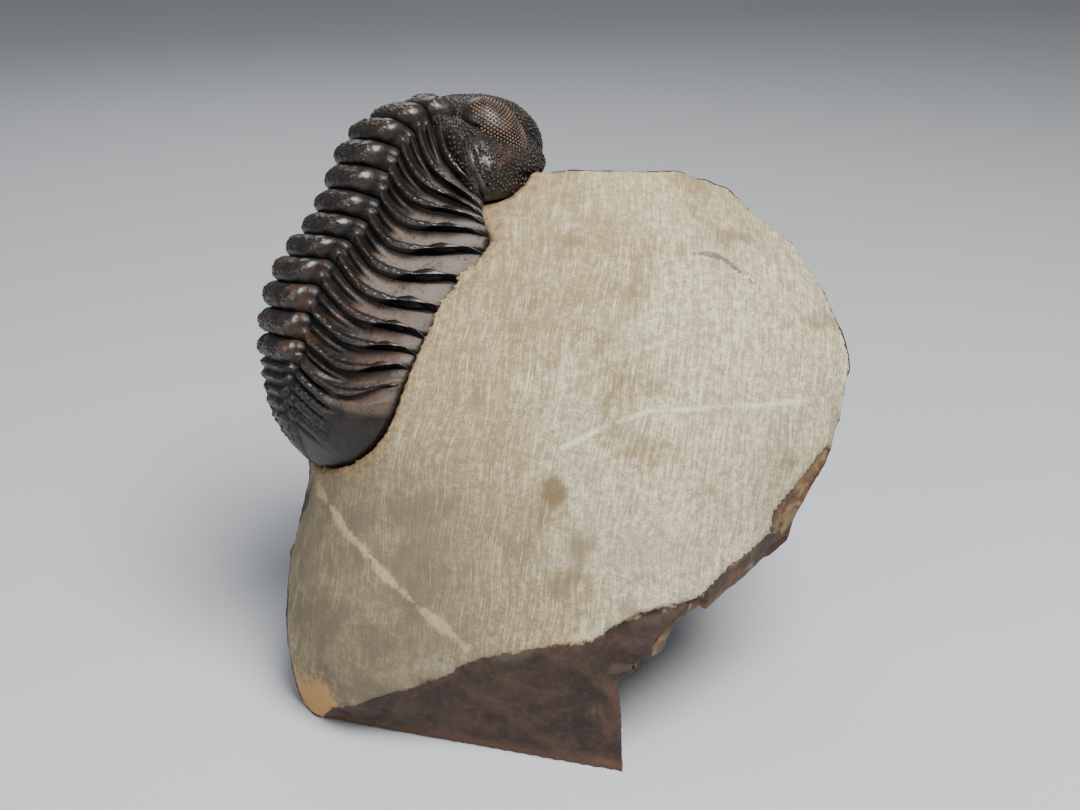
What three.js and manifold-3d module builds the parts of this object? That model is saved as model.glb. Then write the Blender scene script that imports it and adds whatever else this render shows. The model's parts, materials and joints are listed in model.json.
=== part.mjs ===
import * as THREE from "three";
import Module from "manifold-3d";

// A curled trilobite with a big-eyed head, eleven body segments and a tail shield, standing out of the
// limestone block that holds it. Millimetres, Z up. The shapes are laid out in a leaning frame whose
// first axis runs right, the second up the leaning face of the block and the third straight out of that face.

const wasm = await Module();
wasm.setup();

const LEAN_BACK_DEG = 22;
const GAP = 0.34;
const ROOM_GAP = 0.4;
const PLATE_ROOM = 0.12;
const SEAT_SPANS = 2;
const PLATE_SPANS = 4;
const TAIL_SPANS = 9;
const BASE_LEVEL = 3.26;
const BODY_HALF_WIDTH = 15;
const AXIS_HALF_WIDTH = 6;
const FULCRUM_REACH = 13.5;
const EDGE_DEPTH = 0.9;
const RING_RISE = 0.95;
const RING_FURROW = 0.9;
const RIB_RISE = 0.45;

// The middle plane of the animal: its origin in the leaning frame, the direction to the animal's right
// flank and the two directions that lie in the plane (towards the back of the shell, and up).
const BODY_ORIGIN = new THREE.Vector3(0, 55, 0);
const FLANK = new THREE.Vector3(0.45, -0.12, 0.885).normalize();
const DORSAL = new THREE.Vector3(-0.855, 0.228, 0.466).normalize();
const UPWARD = new THREE.Vector3(0.258, 0.966, 0).normalize();

// One row for each station along the body: distance along the body counted in segments, then points in the
// middle plane (dorsal, up) for the ring crest, the furrow beside the axis, the bend of the rib and its tip,
// and the half width of the shell there.
const STATIONS = [
  {
    at: -1.0, crest: [8.6, 24.5], furrow: [8.4, 21.6],
    bend: [11.9, 17.6], tip: [6.3, 13.4], half: 14.6,
  },
  {
    at: -0.3, crest: [12.3, 23.8], furrow: [10.9, 21.6],
    bend: [12.8, 15.6], tip: [6.6, 12.5], half: 14.8,
  },
  {
    at: 0.5, crest: [15.6, 21.5], furrow: [13.2, 20.4],
    bend: [13.6, 13.4], tip: [6.6, 11.3], half: 15,
  },
  {
    at: 1.5, crest: [18.3, 18.4], furrow: [14.9, 18.0],
    bend: [14.3, 11.1], tip: [6.0, 10.0], half: 15,
  },
  {
    at: 2.5, crest: [19.7, 14.8], furrow: [15.9, 14.9],
    bend: [14.7, 8.6], tip: [5.3, 8.5], half: 15,
  },
  {
    at: 3.5, crest: [20.2, 11.4], furrow: [16.0, 11.4],
    bend: [15.4, 6.0], tip: [5.1, 6.3], half: 15,
  },
  {
    at: 4.5, crest: [20.6, 8.2], furrow: [16.6, 8.2],
    bend: [16.1, 3.4], tip: [5.9, 2.4], half: 15,
  },
  {
    at: 5.5, crest: [21.4, 5.1], furrow: [17.6, 5.3],
    bend: [16.5, 0.6], tip: [7.6, -2.0], half: 15,
  },
  {
    at: 6.5, crest: [22.5, 2.0], furrow: [19.2, 2.5],
    bend: [16.6, -2.8], tip: [9.4, -5.4], half: 15,
  },
  {
    at: 7.5, crest: [23.5, -1.4], furrow: [20.7, -0.7],
    bend: [16.4, -6.2], tip: [10.1, -7.6], half: 15,
  },
  {
    at: 8.5, crest: [23.8, -4.9], furrow: [21.3, -4.4],
    bend: [16.1, -9.4], tip: [10.5, -9.5], half: 15,
  },
  {
    at: 9.5, crest: [23.4, -8.3], furrow: [21.2, -8.0],
    bend: [15.9, -12.5], tip: [10.8, -11.8], half: 14.9,
  },
  {
    at: 10.5, crest: [22.6, -11.4], furrow: [20.8, -11.2],
    bend: [15.8, -15.5], tip: [11.1, -14.7], half: 14.7,
  },
  {
    at: 11.5, crest: [21.9, -14.2], furrow: [20.4, -14.0],
    bend: [15.6, -17.6], tip: [11.5, -17.4], half: 14.2,
  },
  {
    at: 12.5, crest: [20.7, -17.2], furrow: [19.3, -17.2],
    bend: [15.2, -19.6], tip: [11.8, -19.9], half: 12.6,
  },
  {
    at: 13.5, crest: [18.7, -20.2], furrow: [17.6, -20.2],
    bend: [14.8, -21.8], tip: [12.2, -22.2], half: 9.4,
  },
  {
    at: 14.3, crest: [16.3, -22.6], furrow: [15.6, -22.5],
    bend: [14.1, -23.2], tip: [12.8, -23.6], half: 5.2,
  },
  {
    at: 14.8, crest: [13.9, -24.0], furrow: [13.8, -24.0],
    bend: [13.4, -24.1], tip: [12.9, -24.3], half: 1.2,
  },
];

const SEGMENT_COUNT = 11;
const TAIL_END = 14.8;
const SIDE_STEPS = [0, 2.3, 4.3, 5.6, 6.6, 8.8, 11.2, 13.4, 15];

// Turns a point of the leaning frame into the upright frame of the part.
const lean = THREE.MathUtils.degToRad(LEAN_BACK_DEG);
function upright(p) {
  const y = p.y * Math.sin(lean) - p.z * Math.cos(lean);
  const z = p.y * Math.cos(lean) + p.z * Math.sin(lean) - BASE_LEVEL;
  return new THREE.Vector3(p.x, y, z);
}

// Turns middle-plane coordinates and a sideways reach into a point of the leaning frame.
function bodyPoint(dorsal, up, side) {
  const middle = BODY_ORIGIN.clone().addScaledVector(DORSAL, dorsal).addScaledVector(UPWARD, up);
  return middle.addScaledVector(FLANK, side);
}

// Smooth interpolation along the stations for one named measure.
function cubic(p0, p1, p2, p3, t) {
  const second = 2 * p0 - 5 * p1 + 4 * p2 - p3;
  const third = 3 * p1 - p0 - 3 * p2 + p3;
  const bend = (p2 - p0) * t + second * t * t + third * t * t * t;
  return p1 + bend / 2;
}

function along(at, pick) {
  let i = 0;
  while (i < STATIONS.length - 2 && STATIONS[i + 1].at < at) i += 1;
  const row = (k) => pick(STATIONS[Math.min(Math.max(k, 0), STATIONS.length - 1)]);
  const t = (at - STATIONS[i].at) / (STATIONS[i + 1].at - STATIONS[i].at);
  return cubic(row(i - 1), row(i), row(i + 1), row(i + 2), t);
}

function pair(at, name) {
  return [along(at, (s) => s[name][0]), along(at, (s) => s[name][1])];
}

// The smooth shell surface, without its rings and ribs: a rounded axis, then a rib that bends down.
function shellPoint(at, side) {
  const width = along(at, (s) => s.half) / BODY_HALF_WIDTH;
  const crest = pair(at, "crest");
  const furrow = pair(at, "furrow");
  const tip = pair(at, "tip");
  const reach = Math.abs(side);
  const sign = Math.sign(side);
  if (reach <= AXIS_HALF_WIDTH) {
    const t = reach / AXIS_HALF_WIDTH;
    const drop = 1 - Math.sqrt(Math.max(0, 1 - Math.pow(t, 2.4) * 0.995));
    const a = crest[0] + (furrow[0] - crest[0]) * drop;
    const b = crest[1] + (furrow[1] - crest[1]) * drop;
    return bodyPoint(a, b, side * width);
  }
  const bend = pair(at, "bend");
  const across = (reach - AXIS_HALF_WIDTH) / (BODY_HALF_WIDTH - AXIS_HALF_WIDTH);
  const linear = BODY_HALF_WIDTH - AXIS_HALF_WIDTH;
  const lead = 2 * (FULCRUM_REACH - AXIS_HALF_WIDTH);
  const q = solveBend(across * linear, lead, linear);
  const mix = (k) => (1 - q) * (1 - q) * furrow[k] + 2 * q * (1 - q) * bend[k] + q * q * tip[k];
  return bodyPoint(mix(0), mix(1), sign * reach * width);
}

// Finds where along the rib's bent curve its sideways reach has the wanted value.
function solveBend(wanted, lead, linear) {
  const square = linear - lead;
  if (wanted >= linear) return 1;
  const root = Math.sqrt(lead * lead + 4 * square * wanted);
  return (root - lead) / (2 * square);
}

// How far rings and ribs stand above or below the smooth surface. Home is the station where the plate starts.
function relief(at, side, home) {
  const part = at > SEGMENT_COUNT ? at - Math.floor(at) : Math.min(Math.max(at - home, 0), 1);
  const reach = Math.abs(side);
  const fade = at > SEGMENT_COUNT ? Math.max(0.15, 1 - (at - SEGMENT_COUNT) / 2.2) : 1;
  const ring = (RING_RISE + RING_FURROW) * Math.pow(Math.sin(Math.PI * part), 0.7) - RING_FURROW;
  const rib = RIB_RISE * (part < 0.15 ? -1 : Math.min(1, (part - 0.45) * 2.4));
  const blend = THREE.MathUtils.smoothstep(reach, 5.2, 6.8);
  const edge = 1 - 0.8 * THREE.MathUtils.smoothstep(reach, 13.5, 15);
  return (ring * (1 - blend) + rib * blend * edge) * fade;
}

function shellNormal(at, side) {
  const h = 0.05;
  const s = Math.min(Math.max(side, -BODY_HALF_WIDTH + 0.3), BODY_HALF_WIDTH - 0.3);
  const acrossBody = shellPoint(at, s + h).sub(shellPoint(at, s - h));
  const alongBody = shellPoint(Math.min(at + h, TAIL_END), s).sub(shellPoint(at - h, s));
  return alongBody.cross(acrossBody).normalize();
}

function outerPoint(at, side, home, extra) {
  const rise = relief(at, side, home) + extra;
  return shellPoint(at, side).addScaledVector(shellNormal(at, side), rise);
}

// The flat underside runs straight between the two rib tips, a little inside them.
function floorPoint(at, side, depth) {
  const tip = pair(at, "tip");
  const crest = pair(at, "crest");
  const inward = new THREE.Vector2(tip[0] - crest[0], tip[1] - crest[1]).normalize();
  const width = along(at, (s) => s.half) / BODY_HALF_WIDTH;
  return bodyPoint(tip[0] + inward.x * depth, tip[1] + inward.y * depth, side * width);
}

// Distance between two neighbouring stations, used to turn a gap in millimetres into a step along the body.
function stretch(at, point) {
  const h = 0.1;
  const end = Math.min(at + h, TAIL_END);
  const start = end - 2 * h;
  return point(end).distanceTo(point(start)) / (2 * h);
}

const bothSides = (steps) => [...steps.slice(1).reverse().map((s) => -s), ...steps];
const SIDES = bothSides(SIDE_STEPS);
const SEAT_SIDES = bothSides([0, 9, 13, 15]);

// One closed loop of points round the body at a station, shifted by a distance along the body.
function loopAt(at, shift, home, grow, sides) {
  const outer = sides.map((side) => {
    const step = shift / stretch(at, (k) => shellPoint(k, side));
    return outerPoint(at + step, side * (1 + grow / BODY_HALF_WIDTH), home, grow);
  });
  const under = [...sides].reverse().map((side) => {
    const step = shift / stretch(at, (k) => floorPoint(k, 0, 0));
    return floorPoint(at + step, side * (1 + grow / BODY_HALF_WIDTH), EDGE_DEPTH + grow);
  });
  return [...outer, ...under];
}

// Joins loops into a closed skin; the two ends are closed by strips between shell and underside.
function skinLoops(loops) {
  const count = loops[0].length;
  const points = loops.flat();
  const faces = [];
  for (let i = 0; i + 1 < loops.length; i += 1) {
    for (let j = 0; j < count; j += 1) {
      const a = i * count + j;
      const b = i * count + ((j + 1) % count);
      faces.push([a, b, a + count], [b, b + count, a + count]);
    }
  }
  const last = (loops.length - 1) * count;
  for (let j = 0; j < count / 2 - 1; j += 1) {
    const mirror = count - 1 - j;
    faces.push([j, mirror, j + 1], [j + 1, mirror, mirror - 1]);
    faces.push([last + j, last + j + 1, last + mirror], [last + j + 1, last + mirror - 1, last + mirror]);
  }
  return solidFrom(points, faces);
}

// Makes a solid from points of the leaning frame, turned the right way out.
function solidFrom(points, faces) {
  const placed = points.map(upright);
  let volume = 0;
  for (const [a, b, c] of faces) {
    volume += placed[a].dot(new THREE.Vector3().crossVectors(placed[b], placed[c]));
  }
  const turned = volume < 0 ? faces.map(([a, b, c]) => [a, c, b]) : faces;
  const mesh = new wasm.Mesh({
    numProp: 3,
    vertProperties: new Float32Array(placed.flatMap((p) => [p.x, p.y, p.z])),
    triVerts: new Uint32Array(turned.flat()),
  });
  mesh.merge();
  return new wasm.Manifold(mesh);
}

// One plate of the body. With no growth its ends stand half a gap back from its neighbours; a grown plate
// reaches past them, and is used to cut the seat in the stone.
function bodySolid(from, to, spans, grow, sides = SIDES) {
  const loops = [];
  const inset = grow > 0 ? -grow : GAP / 2;
  for (let i = 0; i <= spans; i += 1) {
    const at = from + ((to - from) * i) / spans;
    let shift = 0;
    if (i === 0) shift = inset;
    if (i === spans && (to < TAIL_END || grow > 0)) shift = -inset;
    loops.push(loopAt(at, shift, from, grow, sides));
  }
  return skinLoops(loops);
}

// The head: distances from a point inside it to the skin, taken round an axis from cheek corner to corner.
const HEAD_FORWARD = [-0.908, 0.418];
const HEAD_UP = [0.418, 0.908];
const HEAD_CORNER = [6.2, 12.0];
const HEAD_LUMPS = [
  { name: "cheeks", centre: [0, 3.5, 0], size: [14.6, 8.6, 14.9] },
  { name: "middle", centre: [5.2, 6.6, 0], size: [10.6, 7.6, 8.6] },
  { name: "neck", centre: [-1.0, 8.2, 0], size: [5.6, 6.4, 5.6] },
  { name: "right eye", centre: [4.2, 8.6, 9.2], size: [6.6, 3.6, 3.5] },
  { name: "left eye", centre: [4.2, 8.6, -9.2], size: [6.6, 3.6, 3.5] },
];
const HEAD_CENTRE = [0, 4.5, 0];

function headPoint(forward, up, side) {
  const a = HEAD_CORNER[0] + forward * HEAD_FORWARD[0] + up * HEAD_UP[0];
  const b = HEAD_CORNER[1] + forward * HEAD_FORWARD[1] + up * HEAD_UP[1];
  return bodyPoint(a, b, side);
}

function ellipsoidReach(direction, lump) {
  let a = 0;
  let b = 0;
  let c = -1;
  for (let k = 0; k < 3; k += 1) {
    const offset = HEAD_CENTRE[k] - lump.centre[k];
    a += (direction[k] / lump.size[k]) ** 2;
    b += (2 * direction[k] * offset) / lump.size[k] ** 2;
    c += (offset / lump.size[k]) ** 2;
  }
  const inside = b * b - 4 * a * c;
  return inside > 0 ? (-b + Math.sqrt(inside)) / (2 * a) : 0;
}

function headReach(direction) {
  const reaches = HEAD_LUMPS.map((lump) => ellipsoidReach(direction, lump));
  const sum = reaches.reduce((total, r) => total + Math.exp(r * 2.2), 0);
  return Math.log(sum) / 2.2;
}

function headSolid(turns, slices, grow) {
  const points = [headPoint(0, HEAD_CENTRE[1], 0)];
  const faces = [];
  for (let i = 0; i <= slices; i += 1) {
    const tilt = (Math.PI * i) / slices;
    for (let j = 0; j < turns; j += 1) {
      const turn = (2 * Math.PI * j) / turns;
      const dir = [Math.sin(tilt) * Math.cos(turn), Math.sin(tilt) * Math.sin(turn), Math.cos(tilt)];
      const r = headReach(dir) + grow;
      const p = dir.map((v, k) => HEAD_CENTRE[k] + v * r);
      points.push(headPoint(...p));
    }
  }
  for (let i = 0; i < slices; i += 1) {
    for (let j = 0; j < turns; j += 1) {
      const a = 1 + i * turns + j;
      const b = 1 + i * turns + ((j + 1) % turns);
      if (i > 0) faces.push([a, b, a + turns]);
      if (i < slices - 1) faces.push([b, b + turns, a + turns]);
    }
  }
  for (let j = 1; j < turns; j += 1) {
    points[1 + j] = points[1].clone();
    points[1 + slices * turns + j] = points[1 + slices * turns].clone();
  }
  return solidFrom(points.slice(1), faces.map((f) => f.map((v) => v - 1)));
}

// A large block on one side of a plane, given in head coordinates or in the leaning frame by its corners.
function wedge(corners, push) {
  const points = [...corners, ...corners.map((p) => p.clone().add(push))];
  const faces = [[0, 1, 2], [0, 2, 3], [4, 6, 5], [4, 7, 6]];
  for (let j = 0; j < 4; j += 1) {
    const k = (j + 1) % 4;
    faces.push([j, j + 4, k], [k, j + 4, k + 4]);
  }
  return solidFrom(points, faces);
}

const headUnderside = (drop) => wedge(
  [[-40, -40], [40, -40], [40, 40], [-40, 40]].map(([forward, side]) => headPoint(forward, -drop, side)),
  headPoint(0, -40, 0).sub(headPoint(0, 0, 0)),
);

const rearBand = bodySolid(-0.9, 0, 3, 0);
const HEAD_REAR = -0.6;
const behindHead = wedge(
  [[-40, -40], [40, -40], [40, 40], [-40, 40]].map(([up, side]) => headPoint(HEAD_REAR, up, side)),
  headPoint(-40, 0, 0).sub(headPoint(0, 0, 0)),
);
let cephalon = headSolid(28, 20, 0).subtract(headUnderside(0)).subtract(behindHead).add(rearBand);
for (let i = 1; i <= 3; i += 1) cephalon = cephalon.subtract(bodySolid(i - 1, i, 4, GAP));

// The block: an outline seen square to its leaning face, with the height of the ground face and of the
// hidden back given by smooth falls towards the rim.
const BLOCK_CENTRE = [8, 30];
const BLOCK_OUTLINE = [
  [11.4, 70.8], [18.8, 71.0], [28.8, 71.2], [35.6, 70.0], [38.8, 66.9], [43.8, 62.5], [47.5, 55.6],
  [49.4, 49.4], [49.8, 46.2], [48.5, 40.0], [46.9, 35.6], [43.8, 29.4], [42.5, 25.0], [37.0, 21.0],
  [31.2, 17.5], [28.8, 16.2], [27.5, 14.4], [26.9, 11.9], [25.6, 11.2], [20.2, 9.4], [20.8, 5.0],
  [21.4, 0.0], [21.2, -8.0], [12.0, -8.0], [2.0, -8.0], [-8.0, -8.0], [-17.0, -8.0], [-18.6, 1.0],
  [-21.2, 6.2], [-22.0, 11.0], [-22.3, 16.0], [-22.2, 21.0], [-21.5, 26.0], [-20.5, 30.0], [-19.6, 34.8],
  [-17.6, 40.0], [-16.0, 46.0], [-14.6, 52.0], [-13.0, 58.0], [-10.5, 64.0], [-7.5, 68.5], [-2.0, 70.5],
  [5.0, 70.8],
];
const BLOCK_RINGS = [0.2, 0.4, 0.56, 0.68, 0.78, 0.86, 0.92, 0.97, 1];
const FACE_HEIGHT = 22;
const BACK_HEIGHT = -24;
const FACE_TOP = 36;

function rimAt(height, side) {
  let best = side * 20;
  BLOCK_OUTLINE.forEach((p, i) => {
    const q = BLOCK_OUTLINE[(i + 1) % BLOCK_OUTLINE.length];
    if ((p[1] - height) * (q[1] - height) > 0 || p[1] === q[1]) return;
    const x = p[0] + ((q[0] - p[0]) * (height - p[1])) / (q[1] - p[1]);
    if (side * x > side * best) best = x;
  });
  return best;
}

function groundFace(x, up) {
  const level = Math.min(Math.max(up, 2), 70);
  const toLeft = Math.max(0, 20 - x) / (20 - Math.min(rimAt(level, -1), -8));
  const toRight = Math.max(0, x - 20) / (rimAt(Math.max(level, 26), 1) - 20);
  const leftFall = THREE.MathUtils.lerp(18, 33, THREE.MathUtils.smoothstep(level, 6, 32));
  const lower = 0.002 + 0.0052 * THREE.MathUtils.smoothstep(20 - x, 0, 24);
  let fall = leftFall * (1 - Math.sqrt(Math.max(0, 1 - toLeft ** 4)));
  fall += 11 * Math.min(toRight, 1) ** 2.6;
  fall += up > FACE_TOP ? 0.0087 * (up - FACE_TOP) ** 2 : lower * (FACE_TOP - up) ** 2;
  return FACE_HEIGHT - fall;
}

function blockSolid() {
  const count = BLOCK_OUTLINE.length;
  const points = [new THREE.Vector3(...BLOCK_CENTRE, groundFace(...BLOCK_CENTRE))];
  const back = [new THREE.Vector3(...BLOCK_CENTRE, BACK_HEIGHT)];
  for (const ring of BLOCK_RINGS) {
    for (const rim of BLOCK_OUTLINE) {
      const x = BLOCK_CENTRE[0] + (rim[0] - BLOCK_CENTRE[0]) * ring;
      const up = BLOCK_CENTRE[1] + (rim[1] - BLOCK_CENTRE[1]) * ring;
      const hidden = BACK_HEIGHT + 10 * ring ** 5 + 0.12 * Math.max(0, up - 30);
      points.push(new THREE.Vector3(x, up, Math.max(groundFace(x, up), hidden + 1.5)));
      back.push(new THREE.Vector3(x, up, hidden));
    }
  }
  const shift = points.length;
  const faces = [];
  for (let j = 0; j < count; j += 1) {
    const k = (j + 1) % count;
    faces.push([0, 1 + j, 1 + k], [shift, shift + 1 + k, shift + 1 + j]);
    for (let i = 0; i + 1 < BLOCK_RINGS.length; i += 1) {
      const a = 1 + i * count + j;
      const b = 1 + i * count + k;
      faces.push([a, a + count, b], [b, a + count, b + count]);
      faces.push([shift + a, shift + b, shift + a + count]);
      faces.push([shift + b, shift + b + count, shift + a + count]);
    }
    const rimA = 1 + (BLOCK_RINGS.length - 1) * count + j;
    const rimB = 1 + (BLOCK_RINGS.length - 1) * count + k;
    faces.push([rimA, shift + rimA, rimB], [rimB, shift + rimA, shift + rimB]);
  }
  return solidFrom([...points, ...back], faces);
}

// Everything under the level of the table.
const below = wedge(
  [[-90, -90], [90, -90], [90, 90], [-90, 90]].map(([x, y]) => {
    const up = y * Math.sin(lean) + BASE_LEVEL * Math.cos(lean);
    const out = -y * Math.cos(lean) + BASE_LEVEL * Math.sin(lean);
    return new THREE.Vector3(x, up, out);
  }),
  new THREE.Vector3(0, -60 * Math.cos(lean), -60 * Math.sin(lean)),
);

// The brown front of the foot: a twisted break, undercut at its left end and nearly upright at its right.
// Each row is a share of the way along the foot and how far the break comes forward for each step up.
const FRONT_LEFT = new THREE.Vector3(-17.5, 1.9, 4);
const FRONT_RIGHT = new THREE.Vector3(18.8, -2.25, 14.3);
const FRONT_SLANTS = [
  [-0.3, 1.6], [0.04, 1.6], [0.1, 1.7], [0.138, 1.6], [0.207, 1.4], [0.317, 1.1], [0.448, 0.84],
  [0.551, 0.7], [0.647, 0.63], [0.758, 0.56], [0.868, 0.49], [1, 0.4], [1.6, 0.4],
];
const FRONT_CLIMBS = [-8, 0, 2.5, 5, 7.5, 10, 12.5, 15, 18, 26];
const FRONT_CLEAR = new THREE.Vector3(0, -20, 50);

function frontCutter() {
  const points = [];
  for (const [share, slant] of FRONT_SLANTS) {
    const foot = FRONT_LEFT.clone().lerp(FRONT_RIGHT, share);
    const wall = FRONT_CLIMBS.map((climb) => foot.clone().add(new THREE.Vector3(0, climb, climb * slant)));
    points.push(...wall, wall.at(-1).clone().add(FRONT_CLEAR), wall[0].clone().add(FRONT_CLEAR));
  }
  const count = FRONT_CLIMBS.length + 2;
  const last = points.length - count;
  const faces = [];
  for (let k = 0; k + 2 < count; k += 1) {
    faces.push([count - 1, k + 1, k], [last + count - 1, last + k, last + k + 1]);
  }
  for (let i = 0; i < last; i += count) {
    for (let k = 0; k < count; k += 1) {
      const a = i + k;
      const b = i + ((k + 1) % count);
      faces.push([a, b, a + count], [b, b + count, a + count]);
    }
  }
  return solidFrom(points, faces);
}

// The broken lower right edge: a face that falls back steeply behind the ground face's last line.
const BREAK_TOP = new THREE.Vector3(46.9, 35.6, 14.5);
const BREAK_FOOT = new THREE.Vector3(28.8, 17.1, 19.6);
const breakRun = BREAK_FOOT.clone().sub(BREAK_TOP);
const breakFall = new THREE.Vector3(3.0, -3.0, -9);
const breakCut = wedge(
  [
    BREAK_TOP.clone().addScaledVector(breakRun, -1).addScaledVector(breakFall, -3),
    BREAK_FOOT.clone().addScaledVector(breakRun, 0.5).addScaledVector(breakFall, -3),
    BREAK_FOOT.clone().addScaledVector(breakRun, 0.5).addScaledVector(breakFall, 2),
    BREAK_TOP.clone().addScaledVector(breakRun, -1).addScaledVector(breakFall, 2),
  ],
  new THREE.Vector3(30, -30, 10),
);

let seat = bodySolid(-0.9, 0, 2, ROOM_GAP, SEAT_SIDES);
for (let i = 1; i <= SEGMENT_COUNT; i += 1) {
  seat = seat.add(bodySolid(i - 1, i, SEAT_SPANS, ROOM_GAP, SEAT_SIDES));
}
seat = seat.add(bodySolid(SEGMENT_COUNT, TAIL_END, TAIL_SPANS, ROOM_GAP));
seat = seat.add(bodySolid(SEGMENT_COUNT, TAIL_END, TAIL_SPANS, 0));
const headRoom = headSolid(24, 18, ROOM_GAP).subtract(headUnderside(GAP));
const block = blockSolid().subtract(below).subtract(frontCutter()).subtract(breakCut);
const matrix = block.subtract(seat).subtract(headRoom);

const COLOURS = { stone: 0xb5ab99, shell: 0x2b2622 };
const pieces = [{ name: "matrix", solid: matrix, colour: COLOURS.stone, roughness: 0.9 }];
pieces.push({ name: "cephalon", solid: cephalon, colour: COLOURS.shell, roughness: 0.45 });
for (let i = 1; i <= SEGMENT_COUNT; i += 1) {
  const name = `thoracic_segment_${String(i).padStart(2, "0")}`;
  let solid = bodySolid(i - 1, i, PLATE_SPANS, 0);
  if (i > 1) solid = solid.subtract(bodySolid(i - 2, i - 1, PLATE_SPANS, PLATE_ROOM));
  pieces.push({ name, solid, colour: COLOURS.shell, roughness: 0.45 });
}
const lastRoom = bodySolid(SEGMENT_COUNT - 1, SEGMENT_COUNT, PLATE_SPANS, PLATE_ROOM);
const tail = bodySolid(SEGMENT_COUNT, TAIL_END, TAIL_SPANS, 0).subtract(lastRoom);
pieces.push({ name: "pygidium", solid: tail, colour: COLOURS.shell, roughness: 0.45 });

function geometryOf(solid) {
  const mesh = solid.getMesh();
  const geometry = new THREE.BufferGeometry();
  geometry.setAttribute("position", new THREE.BufferAttribute(new Float32Array(mesh.vertProperties), 3));
  geometry.setIndex(new THREE.BufferAttribute(new Uint32Array(mesh.triVerts), 1));
  geometry.computeVertexNormals();
  return geometry;
}

const group = new THREE.Group();
group.name = "trilobite_fossil";
for (const piece of pieces) {
  const look = { color: piece.colour, roughness: piece.roughness, metalness: 0 };
  const material = new THREE.MeshStandardMaterial(look);
  const mesh = new THREE.Mesh(geometryOf(piece.solid), material);
  mesh.name = piece.name;
  group.add(mesh);
}

// Sets the whole on the table with its middle over the origin.
const extent = new THREE.Box3().setFromObject(group);
const middle = extent.getCenter(new THREE.Vector3());
for (const mesh of group.children) mesh.geometry.translate(-middle.x, -middle.y, -extent.min.z);

export default group;
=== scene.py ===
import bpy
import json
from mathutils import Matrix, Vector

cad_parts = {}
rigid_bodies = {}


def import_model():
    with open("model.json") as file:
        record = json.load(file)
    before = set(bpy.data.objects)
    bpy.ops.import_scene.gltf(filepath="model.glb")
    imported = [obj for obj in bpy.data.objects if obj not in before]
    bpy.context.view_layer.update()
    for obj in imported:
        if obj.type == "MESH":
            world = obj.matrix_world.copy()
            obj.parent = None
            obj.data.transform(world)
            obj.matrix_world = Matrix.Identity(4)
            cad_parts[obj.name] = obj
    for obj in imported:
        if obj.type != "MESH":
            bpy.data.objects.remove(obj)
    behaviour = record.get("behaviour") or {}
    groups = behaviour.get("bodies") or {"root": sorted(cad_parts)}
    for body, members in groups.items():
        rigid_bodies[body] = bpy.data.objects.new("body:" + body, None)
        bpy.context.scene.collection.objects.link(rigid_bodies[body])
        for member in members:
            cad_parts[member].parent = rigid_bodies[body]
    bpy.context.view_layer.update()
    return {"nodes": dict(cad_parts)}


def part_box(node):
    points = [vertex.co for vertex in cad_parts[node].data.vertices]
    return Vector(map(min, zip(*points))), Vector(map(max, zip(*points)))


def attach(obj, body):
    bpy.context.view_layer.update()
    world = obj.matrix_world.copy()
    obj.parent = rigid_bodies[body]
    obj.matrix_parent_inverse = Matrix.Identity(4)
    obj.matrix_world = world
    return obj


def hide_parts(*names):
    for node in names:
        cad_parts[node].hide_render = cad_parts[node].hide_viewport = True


bl_info = {
    "name": "Trilobite on its stone",
    "version": (1, 0, 0),
    "blender": (4, 5, 0),
    "location": "3D View > Sidebar > Trilobite",
    "description": "Builds a curled trilobite fossil, plate by plate, on the limestone block that holds it",
    "category": "Object",
}

import json
import math

import bpy
import numpy as np
from bpy.props import FloatProperty, FloatVectorProperty, IntProperty, PointerProperty
from mathutils import Vector
from mathutils.kdtree import KDTree

for leftover in list(bpy.data.objects):
    bpy.data.objects.remove(leftover)
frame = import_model()
MM = 0.001

# ----------------------------------------------------------------------------------------------------
# The shared layout: a leaning frame (right, up the block's face, out of it), and the animal's middle
# plane in it. Millimetres, until a mesh is made.

LEAN = math.radians(22)
# How far the table lies above the leaning frame's origin, and how far the block reaches left and back of it.
BASE_LEVEL = 3.26
BLOCK_LEFT = 22.3
MATRIX_BACK = 39.5204
BODY_ORIGIN = np.array([0.0, 55.0, 0.0])
FLANK, DORSAL, UPWARD = (
    np.array(axis) / np.linalg.norm(axis)
    for axis in ([0.45, -0.12, 0.885], [-0.855, 0.228, 0.466], [0.258, 0.966, 0.0])
)
HALF_WIDTH = 15.0
AXIS_HALF = 6.0
FULCRUM = 13.5
SEGMENTS = 11
TAIL_END = 14.8

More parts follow.
